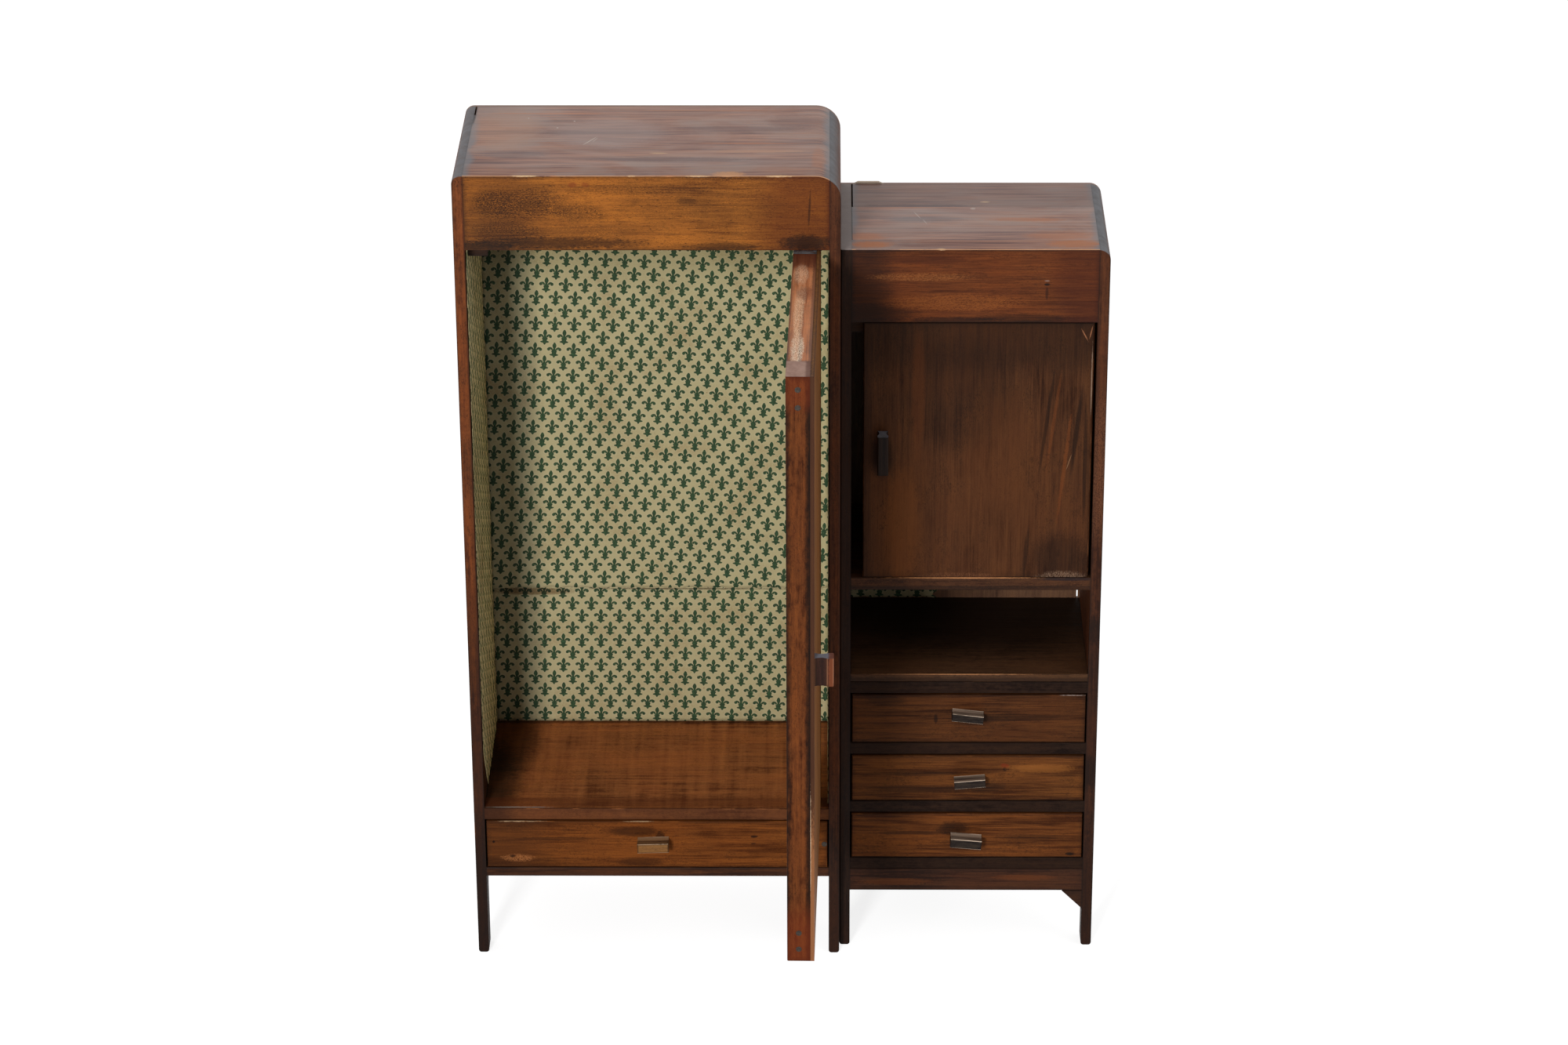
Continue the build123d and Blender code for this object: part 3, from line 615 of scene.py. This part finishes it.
PANEL_MARKS = (
    mark((0.0, 0.5, 0.5), (0.5, 0, 0), 0.85, tone=srgb(60, 34, 22), ragged=0.8),
    mark((0.0, 0.5, 0.08), (1.0, 0, 62), 0.8, tone=srgb(150, 98, 62), ragged=2.6),
    mark((0.0, 1.0, 0.21), (1.0, 0.4, 34), 0.6, tone=srgb(228, 194, 160), ragged=3.4),
)
LEG_SHADE = mark((0.5, 0.5, 0.0), (0, 0, 95), 0.7, ragged=0.6)
LOW_RIGHT_MARKS = (
    mark((0.5, 0, 0.34), (0, 5, 78), 0.5, tone=srgb(24, 16, 13), ragged=2.6),
    mark((0.5, 0, 0.26), (0, 5, 12), 0.6, ragged=3.0),
    mark((0.5, 0, 0.47), (0, 5, 9), 0.6, ragged=3.0),
    speckles((0.4, 0, 0.70), (0, 2, 44), 0.4, tone=srgb(128, 82, 56), ragged=2.4),
)
LOWER_LEFT_SHADE = mark((0.5, 0.5, 0.05), (0, 0, 230), 0.76, ragged=0.6)
DOOR_HANDLE_MARKS = (mark((0.5, 0.08, 0.5), (0, 2.2, 0), 0.85, tone=srgb(112, 60, 36)),)

# What kinds of boards have in common.
CARCASS_SIDE = dict(grain="z", blotches=1.2, grime=0.7, top_sheen_tone=SLATE_PAINTED_SHEEN, top_sheen_share=0.9, top_sheen_even=0.7,
                    marks=(LEG_SHADE,))
TOP = dict(grain="x", weathered_and_sheen=1.0, gloss=0.45, shine=0.2)
FASCIA = dict(grain="x", streaks=0.3, weathered_and_sheen=1.0, shine=0.1, rim=0.5, rim_width=3.0, rub=1.0, wear=0.9,
              rub_tone=srgb(206, 156, 116))
SHELF = dict(grain="x", streaks=0.4, rim=0.25, blotches=0.8)
DRAWER = dict(grain="x", streaks=0.7, shine=0.06, rim=0.35, rim_width=3.0, wear=0.45, red=0.3)
DOOR_POST = dict(grain="z", streaks=0.5, rim=0.8, rim_width=3.4, blotches=1.6, shine=0.05, red=0.25)
BACK = dict(grain="z", streaks=0.35, rim=0.3, shine=0.3, red=0.1, top_sheen_tone=srgb(150, 120, 106),
            top_sheen_share=1.0, top_sheen_even=0.8)
BOX_WOOD = dict(grain="x", tone=srgb(172, 134, 92), streaks=0.4, rim=0.25, grime=0.2, rub=0.0, shine=0.3,
                red=0.1)
HANDLE = dict(streaks=0.7, rim=0.5, rim_width=1.2, rub=1.0, wear=1.0)
LOW_HANDLE = dict(HANDLE, grain="x", tone=srgb(42, 35, 31), top_sheen_tone=srgb(150, 128, 110), top_sheen_share=0.8,
                  top_sheen_even=0.2, blotches=2.6, rub_tone=srgb(232, 208, 184))

# Each wooden node's look, where tone is the board's middle colour and a top colour is a painted sheen or
# highlight on its upward faces.
WOODS = {
    "tall_left_side": dict(CARCASS_SIDE, tone=srgb(116, 62, 30), marks=(LEG_SHADE, LOWER_LEFT_SHADE)),
    "tall_right_side": dict(CARCASS_SIDE, tone=srgb(86, 48, 28)),
    "low_left_side": dict(CARCASS_SIDE, tone=srgb(42, 24, 15), top_sheen_tone=srgb(162, 150, 146), top_sheen_even=0.9,
                          marks=()),
    "low_right_side": dict(CARCASS_SIDE, tone=srgb(80, 45, 27), marks=(LEG_SHADE,) + LOW_RIGHT_MARKS),
    "tall_top_board": dict(TOP, tone=srgb(112, 72, 56), marks=TALL_TOP_MARKS),
    "low_top_front": dict(TOP, tone=srgb(118, 76, 58), marks=LOW_TOP_MARKS),
    "low_top_rear": dict(TOP, tone=srgb(98, 70, 60), marks=LOW_REAR_MARKS),
    "tall_fascia": dict(FASCIA, tone=srgb(148, 89, 34), threaded=1.7, red=0.2, pores=0.9, grime=0.4,
                        flecked=0.6, marks=TALL_FASCIA_MARKS + FASCIA_CHIPS),
    "low_fascia": dict(FASCIA, tone=srgb(96, 50, 23), streaks=0.45, threaded=1.5, pores=0.8, grime=0.4,
                       marks=LOW_FASCIA_MARKS),
    "tall_floor_board": dict(SHELF, tone=srgb(166, 101, 58), cross=1.0, threaded=0.3, shine=0.04, rub=0.35,
                             wear=0.5, marks=FLOOR_MARKS),
    "tall_bottom_board": dict(SHELF, tone=srgb(70, 40, 22), streaks=0.7),
    "tall_door_stop": dict(SHELF, tone=srgb(46, 28, 18)),
    "low_door_stop": dict(SHELF, tone=srgb(60, 36, 22)),
    "shelf": dict(SHELF, tone=srgb(78, 48, 30), flecked=0.6, marks=SHELF_MARKS),
    "niche_board": dict(SHELF, tone=srgb(84, 57, 38), marks=NICHE_MARKS, wear=0.6),
    "apron": dict(SHELF, tone=srgb(63, 37, 24), streaks=0.7, marks=APRON_MARKS),
    "corner_gusset": dict(SHELF, tone=srgb(56, 34, 22)),
    "small_door_slab": dict(grain="z", tone=srgb(76, 46, 27), streaks=0.42, threaded=0.9, pores=0.45,
                            wear=0.5, shine=0.06, marks=DOOR_SLAB_MARKS),
    "small_door_handle": dict(HANDLE, grain="z", tone=srgb(36, 25, 20), top_sheen_tone=srgb(112, 112, 118),
                              top_sheen_share=0.9, top_sheen_even=0.6, rub=0.3),
    "wide_drawer_front": dict(DRAWER, tone=srgb(110, 61, 25), streaks=0.5, shine=0.04, flecked=0.3,
                              marks=WIDE_DRAWER_MARKS),
    "wide_drawer_handle": dict(HANDLE, grain="x", tone=srgb(122, 86, 50), top_sheen_tone=srgb(134, 104, 78),
                               top_sheen_share=0.8, rub_tone=srgb(190, 160, 130), wear=0.7),
    "drawer_1_front": dict(DRAWER, tone=srgb(78, 45, 23), marks=DRAWER_1_MARKS),
    "drawer_2_front": dict(DRAWER, tone=srgb(94, 55, 26), marks=DRAWER_2_MARKS),
    "drawer_3_front": dict(DRAWER, tone=srgb(98, 55, 25), marks=DRAWER_3_MARKS),
    "door_free_stile": dict(DOOR_POST, tone=srgb(96, 52, 25), top_sheen_tone=srgb(214, 184, 168), top_sheen_share=1.0,
                            top_sheen_even=0.7, marks=STILE_MARKS),
    "door_hinge_stile": dict(DOOR_POST, tone=srgb(84, 48, 28), top_sheen_tone=SLATE_PAINTED_SHEEN, top_sheen_share=0.7),
    "door_top_rail": dict(grain="x", tone=srgb(150, 82, 44), top_sheen_tone=srgb(226, 150, 102), top_sheen_share=0.75,
                          streaks=0.8, blotches=2.6, shine=0.2, gloss=0.45, rim=0.9, rim_width=3.0,
                          flecked=0.6, marks=TOP_RAIL_MARKS),
    "door_bottom_rail": dict(grain="x", tone=srgb(120, 70, 38)),
    "door_panel": dict(grain="z", tone=srgb(132, 88, 50), streaks=0.45, marks=PANEL_MARKS),
    "door_handle": dict(HANDLE, grain="z", tone=srgb(48, 28, 22), top_sheen_tone=srgb(124, 126, 136),
                        top_sheen_share=0.95, top_sheen_even=0.7, rub_tone=srgb(176, 120, 88), marks=DOOR_HANDLE_MARKS),
    "tall_back_panel": dict(BACK, tone=srgb(150, 110, 74)),
    "low_back_panel": dict(BACK, tone=srgb(104, 72, 50), marks=BACK_LIP_MARKS),
}
for number in range(1, 5):
    WOODS[f"divider_{number}"] = dict(SHELF, tone=srgb(41, 27, 20), wear=0.4, blotches=1.6, shine=0.05)
for drawer in ("wide_drawer", "drawer_1", "drawer_2", "drawer_3"):
    WOODS[drawer + "_walls"] = BOX_WOOD
    WOODS[drawer + "_bottom"] = BOX_WOOD
for drawer in ("drawer_1", "drawer_2", "drawer_3"):
    WOODS[drawer + "_handle"] = LOW_HANDLE


def dress(name, material):
    nodes[name].data.materials.clear()
    nodes[name].data.materials.append(material)


SEED_STEP = 1.37
for number, (name, look) in enumerate(WOODS.items()):
    dress(name, wood(name, seed=SEED_STEP * number, **look))


# ---- metal
def old_steel(name, tone, rust):
    """Dull steel with patches of rust, for nails and hinge pins."""
    surface = Surface(name)
    patches = surface.noise(0.9, 4.0, 0.7)
    fine = surface.noise(4.0, 3.0, 0.6, shift=5.0)
    colour = surface.ramp(patches, (0.35, tone), (0.62, rust))
    surface.bump(fine, 0.04)
    return surface.finish(colour, 0.5 + (patches - 0.5) * 0.5, 0.3, 0.3)


nail_look = old_steel("nail_look", srgb(62, 56, 48), srgb(44, 30, 24))
pin_look = old_steel("pin_look", srgb(120, 116, 110), srgb(88, 62, 44))
for name in ("door_nails", "tall_carcass_nails", "low_carcass_nails", "wide_drawer_nail"):
    dress(name, nail_look)
for name in ("door_pins", "small_door_pins"):
    dress(name, pin_look)


# ---- wallpaper
PAPER = srgb(179, 168, 128)
PAPER_PALE = srgb(214, 204, 172)
PAPER_AGED = srgb(160, 140, 100)
PAPER_SPECK = srgb(120, 70, 50)
INK = srgb(25, 56, 35)
INK_THIN = srgb(52, 92, 58)

# Each pasted sheet's print: the middle that its lattice is measured from, its two pitches, how it
# tilts and sags across the sheet, how its columns lean, and the phase of its first motif.
UPPER_PRINT = dict(middle=(-97.1, 306.0), across=10.536, down=7.618, tilt=-0.0445, sag=-0.0244,
                   twist=0.0213, lean=0.0506, phase=(6.64, 11.41))
LOWER_PRINT = dict(middle=(-97.1, 134.0), across=10.557, down=7.707, tilt=-0.0137, sag=-0.0124,
                   twist=0.0049, lean=0.0168, phase=(8.10, 7.37))
WALL_PRINT = dict(middle=(46.0, 272.0), across=10.5, down=7.65, tilt=0.012, sag=0.004,
                  twist=0.0, lean=0.01, phase=(2.0, 3.0))
REMNANT_PRINT = dict(middle=(30.0, 194.0), across=10.5, down=7.65, tilt=-0.02, sag=0.0,
                     twist=0.0, lean=0.02, phase=(1.0, 2.4))

# The motif, in millimetres from its middle: how far it reaches up and down, its stem's half width at
# some heights and at its widest, how much its upright and its arms are turned, and each arm's arc and tip.
MOTIF_REACH = 4.55
MOTIF_WIDEST = 2.5
MOTIF_LEAN = 0.03
MOTIF_TILT = 0.04
ARM_MIDDLE = (2.3, 0.2)
ARM_RADIUS = 1.0
ARM_HALF_WIDTH = 0.54
TIP_MIDDLE = (3.03, 0.5)
TIP_RADIUS = 0.86
TIP_STRETCH = 0.95
MOTIF_OUTLINE = ((-4.55, 0.0), (-4.2, 0.45), (-3.8, 0.65), (-3.45, 0.75), (-3.25, 1.7), (-3.0, 2.3),
                 (-2.7, 2.45), (-2.4, 2.1), (-2.15, 1.3), (-1.75, 1.15), (-1.3, 1.35), (-0.85, 1.6),
                 (-0.4, 1.4), (0.1, 0.95), (0.7, 0.55), (1.2, 0.65), (1.8, 0.95), (2.5, 1.12),
                 (3.2, 0.98), (3.8, 0.72), (4.3, 0.4), (4.55, 0.0))


def width_curve(height):
    """The stem's half width at a height, both in millimetres."""
    node = height.tree.nodes.new("ShaderNodeFloatCurve")
    curve = node.mapping.curves[0]
    whole = 2 * MOTIF_REACH
    places = [((up + MOTIF_REACH) / whole, half / MOTIF_WIDEST) for up, half in MOTIF_OUTLINE]
    curve.points[0].location, curve.points[1].location = places[0], places[-1]
    for place in places[1:-1]:
        curve.points.new(*place)
    for point in curve.points:
        point.handle_type = "VECTOR"
    node.mapping.update()
    feed(node, {"Value": (height + MOTIF_REACH) * (1 / whole)})
    return Field(height.tree, node.outputs["Value"]) * MOTIF_WIDEST


def fleur(across, up):
    """How far a place is outside the motif, in millimetres: an upright petal over a body with two
    small feet, and an arm on each side that curls over into a round tip."""
    side = abs(across - up * MOTIF_LEAN)
    up = up + across * MOTIF_TILT
    body = side - width_curve(up)
    arm = abs(length(side - ARM_MIDDLE[0], up - ARM_MIDDLE[1]) - ARM_RADIUS) - ARM_HALF_WIDTH
    arm = arm.most(up * -1)
    tip = length(side - TIP_MIDDLE[0], (up - TIP_MIDDLE[1]) * TIP_STRETCH) - TIP_RADIUS
    return body.least(arm).least(tip)


def printed(across, up, print_of):
    """The distance outside the nearest motif of a half-drop lattice."""
    middle, phase = print_of["middle"], print_of["phase"]
    right = across - middle[0]
    above = up - middle[1]
    bend = (above * (print_of["twist"] / 100) + print_of["sag"]) * (1 / 100)
    above_line = above - phase[1] - right * print_of["tilt"] - right * right * bend
    along_line = right - phase[0] - above * print_of["lean"]
    pitch, rise = print_of["across"], 2 * print_of["down"]
    nearest = []
    for shift in (0.0, 0.5):
        place_x = along_line - shift * pitch
        place_z = above_line - shift * rise
        column = (place_x * (1 / pitch)).math("ROUND")
        row = (place_z * (1 / rise)).math("ROUND")
        nearest.append(fleur(place_x - column * pitch, place_z - row * rise))
    return nearest[0].least(nearest[1])


def paper(name, wall_axis, print_of, brightness=1.0, marks=(), box=None):
    """Old printed paper. wall_axis is the axis that points out of its wall."""
    surface = Surface(name)
    across = surface.y if wall_axis == "x" else surface.x
    clouds = surface.noise(0.03, 3.0, 0.6)
    grain = surface.noise(1.1, 3.0, 0.65, shift=5.0)
    specks = surface.noise(0.55, 1.0, 0.4, shift=15.0)
    colour = surface.ramp(clouds * 0.7 + grain * 0.3, (0.3, PAPER_AGED), (0.5, PAPER), (0.75, PAPER))
    colour = surface.mix(specks.fade(0.74, 0.80) * 0.5, colour, PAPER_SPECK)
    wobble = (grain - 0.5) * 0.35
    outside = printed(across, surface.z, print_of) + wobble
    ink = surface.mix(grain.fade(0.45, 0.75), INK, INK_THIN)
    colour = surface.mix(outside.fade(0.9, 0.3) * 0.18, colour, PAPER_PALE)
    colour = surface.mix(outside.fade(0.16, -0.14) * 0.96, colour, ink)
    for one in marks:
        cover = mark_cover(surface, box, one, grain * 0.4 + clouds * 0.6)
        colour = surface.mix(cover, colour, one["tone"], "MULTIPLY")
    # A brightness other than 1 scales the paper's colour; on the side walls it is painted light.
    if brightness != 1.0:
        colour = surface.mix(1.0, colour, (brightness, brightness, brightness, 1), "MULTIPLY")
    surface.bump(grain, 0.02)
    return surface.finish(colour, 0.82, 0.2)


# Painted shadows on the back paper: of the left side along its left edge, and of the fascia along its top.
PAPER_LEFT_PAINTED_SHADOW = srgb(224, 228, 236)
PAPER_TOP_PAINTED_SHADOW = srgb(176, 172, 152)
# Brown darkening just under the seam at the left, over the swelling of the lower sheet.
SEAM_LEFT_BROWN = srgb(150, 120, 90)
SEAM_SHADOW = srgb(70, 52, 40)
# Painted light: the side walls' paper is made paler than its colour.
SIDE_PAPER_PAINTED_LIGHT = 1.7
REMNANT_BRIGHTNESS = 0.9
PAPER_STEP = 2.0 * MM
PAPER_THICKNESS = 0.15 * MM
OFF_WALL = 0.12 * MM
OFF_LOWER_SHEET = 0.2 * MM
OFF_FASCIA = 0.4 * MM
SEAM_OVERLAP = 1.6 * MM
SEAM_LIFT = 0.5 * MM
SEAM_LIFT_FADES = 2.2 * MM
TORN_CORNER = (24 * MM, 34 * MM)
WORN_CORNER = (3 * MM, 2 * MM)
RIGHT = Vector((1, 0, 0))
BACKWARDS = Vector((0, 1, 0))
FORWARDS = Vector((0, -1, 0))
UP = Vector((0, 0, 1))


def ragged(distance, size, seed):
    """An uneven offset along a torn edge, between 0 and about its size, in metres."""
    place = Vector((distance / (6 * MM), seed, 0.0))
    coarse = noise.noise(place)
    fine = noise.noise(place * 4.3 + Vector((0, 0, 7)))
    return max(0.0, 0.5 + 0.7 * coarse + 0.35 * fine) * size


def sheet_mesh(name, corner, across, up, out, width, low, high, relief, left=None, right=None):
    """A thin sheet pasted on a wall. low, high, left and right are its edges as formulas of the
    distance along them, and relief is how far it stands off the wall at a place (u, v)."""
    columns = round(width / PAPER_STEP)
    rows = round(max(high(width * i / columns) for i in range(columns + 1)) / PAPER_STEP)
    mesh = bmesh.new()
    grid = []
    for column in range(columns + 1):
        line = []
        for row in range(rows + 1):
            share = row / rows
            u = width * column / columns
            v = low(u) + (high(u) - low(u)) * share
            start = left(v) if left else 0.0
            end = width - (right(v) if right else 0.0)
            u = start + (end - start) * column / columns
            line.append(mesh.verts.new(corner + across * u + up * v + out * relief(u, v)))
        grid.append(line)
    for column in range(columns):
        for row in range(rows):
            here, beside = grid[column], grid[column + 1]
            mesh.faces.new((here[row], beside[row], beside[row + 1], here[row + 1])).smooth = True
    data = bpy.data.meshes.new(name)
    bmesh.ops.recalc_face_normals(mesh, faces=mesh.faces)
    mesh.to_mesh(data)
    mesh.free()
    piece = placed(name, data)
    solid = piece.modifiers.new("thickness", "SOLIDIFY")
    solid.thickness = PAPER_THICKNESS
    solid.offset = 0.0
    return piece


def wrinkle(u, v, seed, height):
    """Soft creases in pasted paper: long ones that run upwards and a few bubbles."""
    tall = noise.noise(Vector((u / (9 * MM), v / (60 * MM), seed)))
    bubble = noise.noise(Vector((u / (22 * MM), v / (26 * MM), seed + 9)))
    return (0.5 + 0.5 * tall + 0.4 * max(0.0, bubble)) * height


def back_papers():
    """The two sheets on the tall unit's back, the upper one torn over the lower one."""
    low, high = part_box("wallpaper_back_upper")
    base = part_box("wallpaper_back_lower")[0]
    width = high.x - low.x
    seam = low.z

    def upper_relief(u, v):
        """Wrinkled, and lifting off the lower sheet along its torn edge."""
        curl = math.exp(-v / SEAM_LIFT_FADES)
        curl *= 0.35 + 0.65 * noise.noise(Vector((u / (11 * MM), 3.0, 0.0)))
        return OFF_WALL + OFF_LOWER_SHEET + wrinkle(u, v, 2.0, 0.22 * MM) + max(0.0, curl) * SEAM_LIFT

    upper = sheet_mesh("torn_upper_wallpaper", Vector((low.x, high.y, seam - SEAM_OVERLAP)), RIGHT, UP,
                       FORWARDS, width, lambda u: ragged(u, 2.0 * MM, 4.0),
                       lambda u: high.z - seam + SEAM_OVERLAP, upper_relief)

    def lower_relief(u, v):
        """Wrinkled, flatter under the seam, and swollen at the left just below it."""
        below_seam = seam - base.z - v
        swell = math.exp(-((below_seam - 3.5 * MM) / (3.0 * MM)) ** 2)
        swell *= math.exp(-((u - 26 * MM) / (20 * MM)) ** 2) * 0.75 * MM
        creases = wrinkle(u, v, 5.0, 0.2 * MM) * min(1.0, below_seam / (4 * MM) + 0.2)
        return OFF_WALL + creases + max(0.0, swell)

    lower = sheet_mesh("lower_wallpaper", Vector((base.x, high.y, base.z)), RIGHT, UP, FORWARDS, width,
                       lambda u: ragged(u, 0.5 * MM, 1.0), lambda u: seam - base.z, lower_relief)
    bound = (Vector((low.x, low.y, base.z)), high)
    seam_share = (seam - base.z) / (high.z - base.z)
    # Marks on the back sheets: a brown patch and a painted shadow line under the seam, and painted shadows
    # of the left side and the fascia.
    seam_marks_and_painted_shadows = (
        mark((0.13, 0, seam_share - 0.008), (28, 0, 2.6), 0.8, tone=SEAM_LEFT_BROWN),
        mark((0.5, 0, seam_share - 0.004), (110, 0, 0.45), 0.75, tone=SEAM_SHADOW, ragged=5.0),
        mark((0.0, 0, 0.5), (30, 0, 0), 1.0, tone=PAPER_LEFT_PAINTED_SHADOW, ragged=0.8),
        mark((0.5, 0, 1.0), (0, 0, 96), 1.0, tone=PAPER_TOP_PAINTED_SHADOW, ragged=0.6),
    )
    for sheet, look, lattice in ((upper, "upper_wallpaper_look", UPPER_PRINT),
                                 (lower, "lower_wallpaper_look", LOWER_PRINT)):
        sheet.data.materials.append(paper(look, "y", lattice, marks=seam_marks_and_painted_shadows, box=bound))
    return (upper, "wallpaper_back_upper"), (lower, "wallpaper_back_lower")


def side_paper(node, toward, torn):
    """A side wall's sheet, cut round the fascia. A torn one has lost its lower front corner. toward
    is 1 on a wall that faces right and -1 on one that faces left."""
    low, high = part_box(node)
    wall = low.x if toward > 0 else high.x
    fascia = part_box("tall_fascia")
    notch = fascia[1].y - low.y
    below = fascia[0].z - low.z - OFF_FASCIA
    height, depth = high.z - low.z, high.y - low.y
    corner_depth, corner_height = TORN_CORNER if torn else WORN_CORNER

    def bottom(u):
        missing = max(0.0, 1.0 - u / corner_depth) ** 1.2 * corner_height
        return missing + ragged(u, 1.6 * MM if torn else 0.5 * MM, 6.0)

    def front(v):
        return ragged(v, 1.4 * MM, 8.0) if v < below else 0.0

    sheet = sheet_mesh(node + "_sheet", Vector((wall, low.y, low.z)), BACKWARDS, UP, RIGHT * toward,
                       depth, bottom, lambda u: height if u > notch else below,
                       lambda u, v: OFF_WALL + wrinkle(u, v, 7.0 * toward, 0.6 * MM), left=front)
    sheet.data.materials.append(paper(node + "_look", "x", WALL_PRINT, brightness=SIDE_PAPER_PAINTED_LIGHT))
    return sheet, node


def remnant():
    """What is left of the niche's paper, torn off along its right edge."""
    low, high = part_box("wallpaper_remnant")
    width, height = high.x - low.x, high.z - low.z
    sheet = sheet_mesh("niche_wallpaper_remnant", Vector((low.x, high.y, low.z)), RIGHT, UP, FORWARDS,
                       width, lambda u: ragged(u, 1.0 * MM, 2.0), lambda u: height - 0.2 * MM,
                       lambda u, v: OFF_WALL + wrinkle(u, v, 11.0, 0.25 * MM),
                       right=lambda v: ragged(v, 7.0 * MM, 12.0))
    look = paper("niche_wallpaper_look", "y", REMNANT_PRINT, brightness=REMNANT_BRIGHTNESS)
    sheet.data.materials.append(look)
    return sheet, "wallpaper_remnant"


for piece, node in (*back_papers(), side_paper("wallpaper_left", 1, True),
                    side_paper("wallpaper_right", -1, False), remnant()):
    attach(piece, "carcass")
    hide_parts(node)


# ---- stage, light and camera
CAMERA_PLACE = Vector((-0.00441, -2.19888, 1.29907))
CAMERA_PITCH = 25.272
CAMERA_YAW = 0.587
CAMERA_ROLL = -0.197
CAMERA_LENS = 105.0
SENSOR_WIDTH = 36.0
FAR_CLIP = 50.0

KEY_AZIMUTH = 16.0
KEY_HEIGHT = 16.0
KEY_SIZE = 0.42
KEY_POWER = 44.0
FILL_AZIMUTH = -58.0
FILL_HEIGHT = 22.0
FILL_SIZE = 1.4
FILL_POWER = 9.0
LAMP_DISTANCE = 2.6
MIDDLE = Vector((-0.03, 0.0, 0.23))
ROOM_LIGHT = 0.2
SWEEP_LIGHT = 0.36
FLOOR_HALF_WIDTH = 6.0
FLOOR_GREY = (0.75, 0.75, 0.75, 1)
SEEN_FLOOR_GREY = (0.5, 0.5, 0.5, 1)
SEEN_FLOOR_GLOW = 0.8


def camera():
    """The photo's point of view: a long lens that looks down on the front."""
    data = bpy.data.cameras.new("camera")
    data.sensor_width = SENSOR_WIDTH
    data.lens = CAMERA_LENS
    data.clip_end = FAR_CLIP
    eye = placed("camera", data)
    aim = Matrix.Rotation(math.radians(CAMERA_YAW), 4, "Z")
    aim = aim @ Matrix.Rotation(math.radians(90 - CAMERA_PITCH), 4, "X")
    aim = aim @ Matrix.Rotation(math.radians(CAMERA_ROLL), 4, "Z")
    eye.matrix_world = Matrix.Translation(CAMERA_PLACE) @ aim
    bpy.context.scene.camera = eye


def area_light(name, azimuth, height, size, power):
    """A square lamp that looks at the middle. Azimuth 0 is in front, and it grows to the left."""
    data = bpy.data.lights.new(name, "AREA")
    data.shape = "SQUARE"
    data.size = size
    data.energy = power
    lamp = placed(name, data)
    turn, rise = math.radians(azimuth), math.radians(height)
    away = Vector((-math.sin(turn) * math.cos(rise), -math.cos(turn) * math.cos(rise), math.sin(rise)))
    lamp.location = MIDDLE + away * LAMP_DISTANCE
    lamp.rotation_mode = "QUATERNION"
    lamp.rotation_quaternion = away.to_track_quat("Z", "Y")


def seen_directly(tree):
    """1 for rays that show the backdrop itself: from the camera, a gloss or a glass."""
    path = tree.nodes.new("ShaderNodeLightPath")
    seen = Field(tree, path.outputs["Is Camera Ray"])
    seen = seen.most(Field(tree, path.outputs["Is Glossy Ray"]))
    return seen.most(Field(tree, path.outputs["Is Transmission Ray"]))


def floor():
    """A pale floor that keeps the object's shadow and glows where it is seen."""
    mesh = bpy.data.meshes.new("stage_floor")
    half = FLOOR_HALF_WIDTH
    corners = [(-half, -half, 0), (half, -half, 0), (half, half, 0), (-half, half, 0)]
    mesh.from_pydata(corners, [], [(0, 1, 2, 3)])
    plane = placed("stage_floor", mesh)
    material = bpy.data.materials.new("stage_floor")
    material.use_nodes = True
    tree = material.node_tree
    tree.nodes.clear()
    output = tree.nodes.new("ShaderNodeOutputMaterial")
    plain = made(tree, "ShaderNodeBsdfDiffuse", {"Color": FLOOR_GREY})
    shaded = made(tree, "ShaderNodeBsdfDiffuse", {"Color": SEEN_FLOOR_GREY})
    glow = made(tree, "ShaderNodeEmission", {"Strength": SEEN_FLOOR_GLOW})
    pale = made(tree, "ShaderNodeAddShader", {0: shaded.outputs[0], 1: glow.outputs[0]})
    choice = tree.nodes.new("ShaderNodeMixShader")
    feed(choice, {0: seen_directly(tree), 1: plain.outputs[0], 2: pale.outputs[0]})
    feed(output, {"Surface": choice.outputs[0]})
    mesh.materials.append(material)


def world():
    """A white sweep behind and over the object, with a dimmer room in front of it."""
    scene_world = bpy.data.worlds.new("studio")
    bpy.context.scene.world = scene_world
    scene_world.use_nodes = True
    tree = scene_world.node_tree
    coordinates = tree.nodes.new("ShaderNodeTexCoord")
    _, depth, height = parts(tree, coordinates.outputs["Generated"])
    sweep = (depth + height * 0.6).fade(-0.5, 0.6)
    strength = (ROOM_LIGHT + sweep * SWEEP_LIGHT).most(seen_directly(tree))
    feed(tree.nodes["Background"], {"Color": (1, 1, 1, 1), "Strength": strength})


camera()
floor()
world()
area_light("key", KEY_AZIMUTH, KEY_HEIGHT, KEY_SIZE, KEY_POWER)
area_light("fill", FILL_AZIMUTH, FILL_HEIGHT, FILL_SIZE, FILL_POWER)
bpy.context.scene.view_settings.view_transform = "Standard"
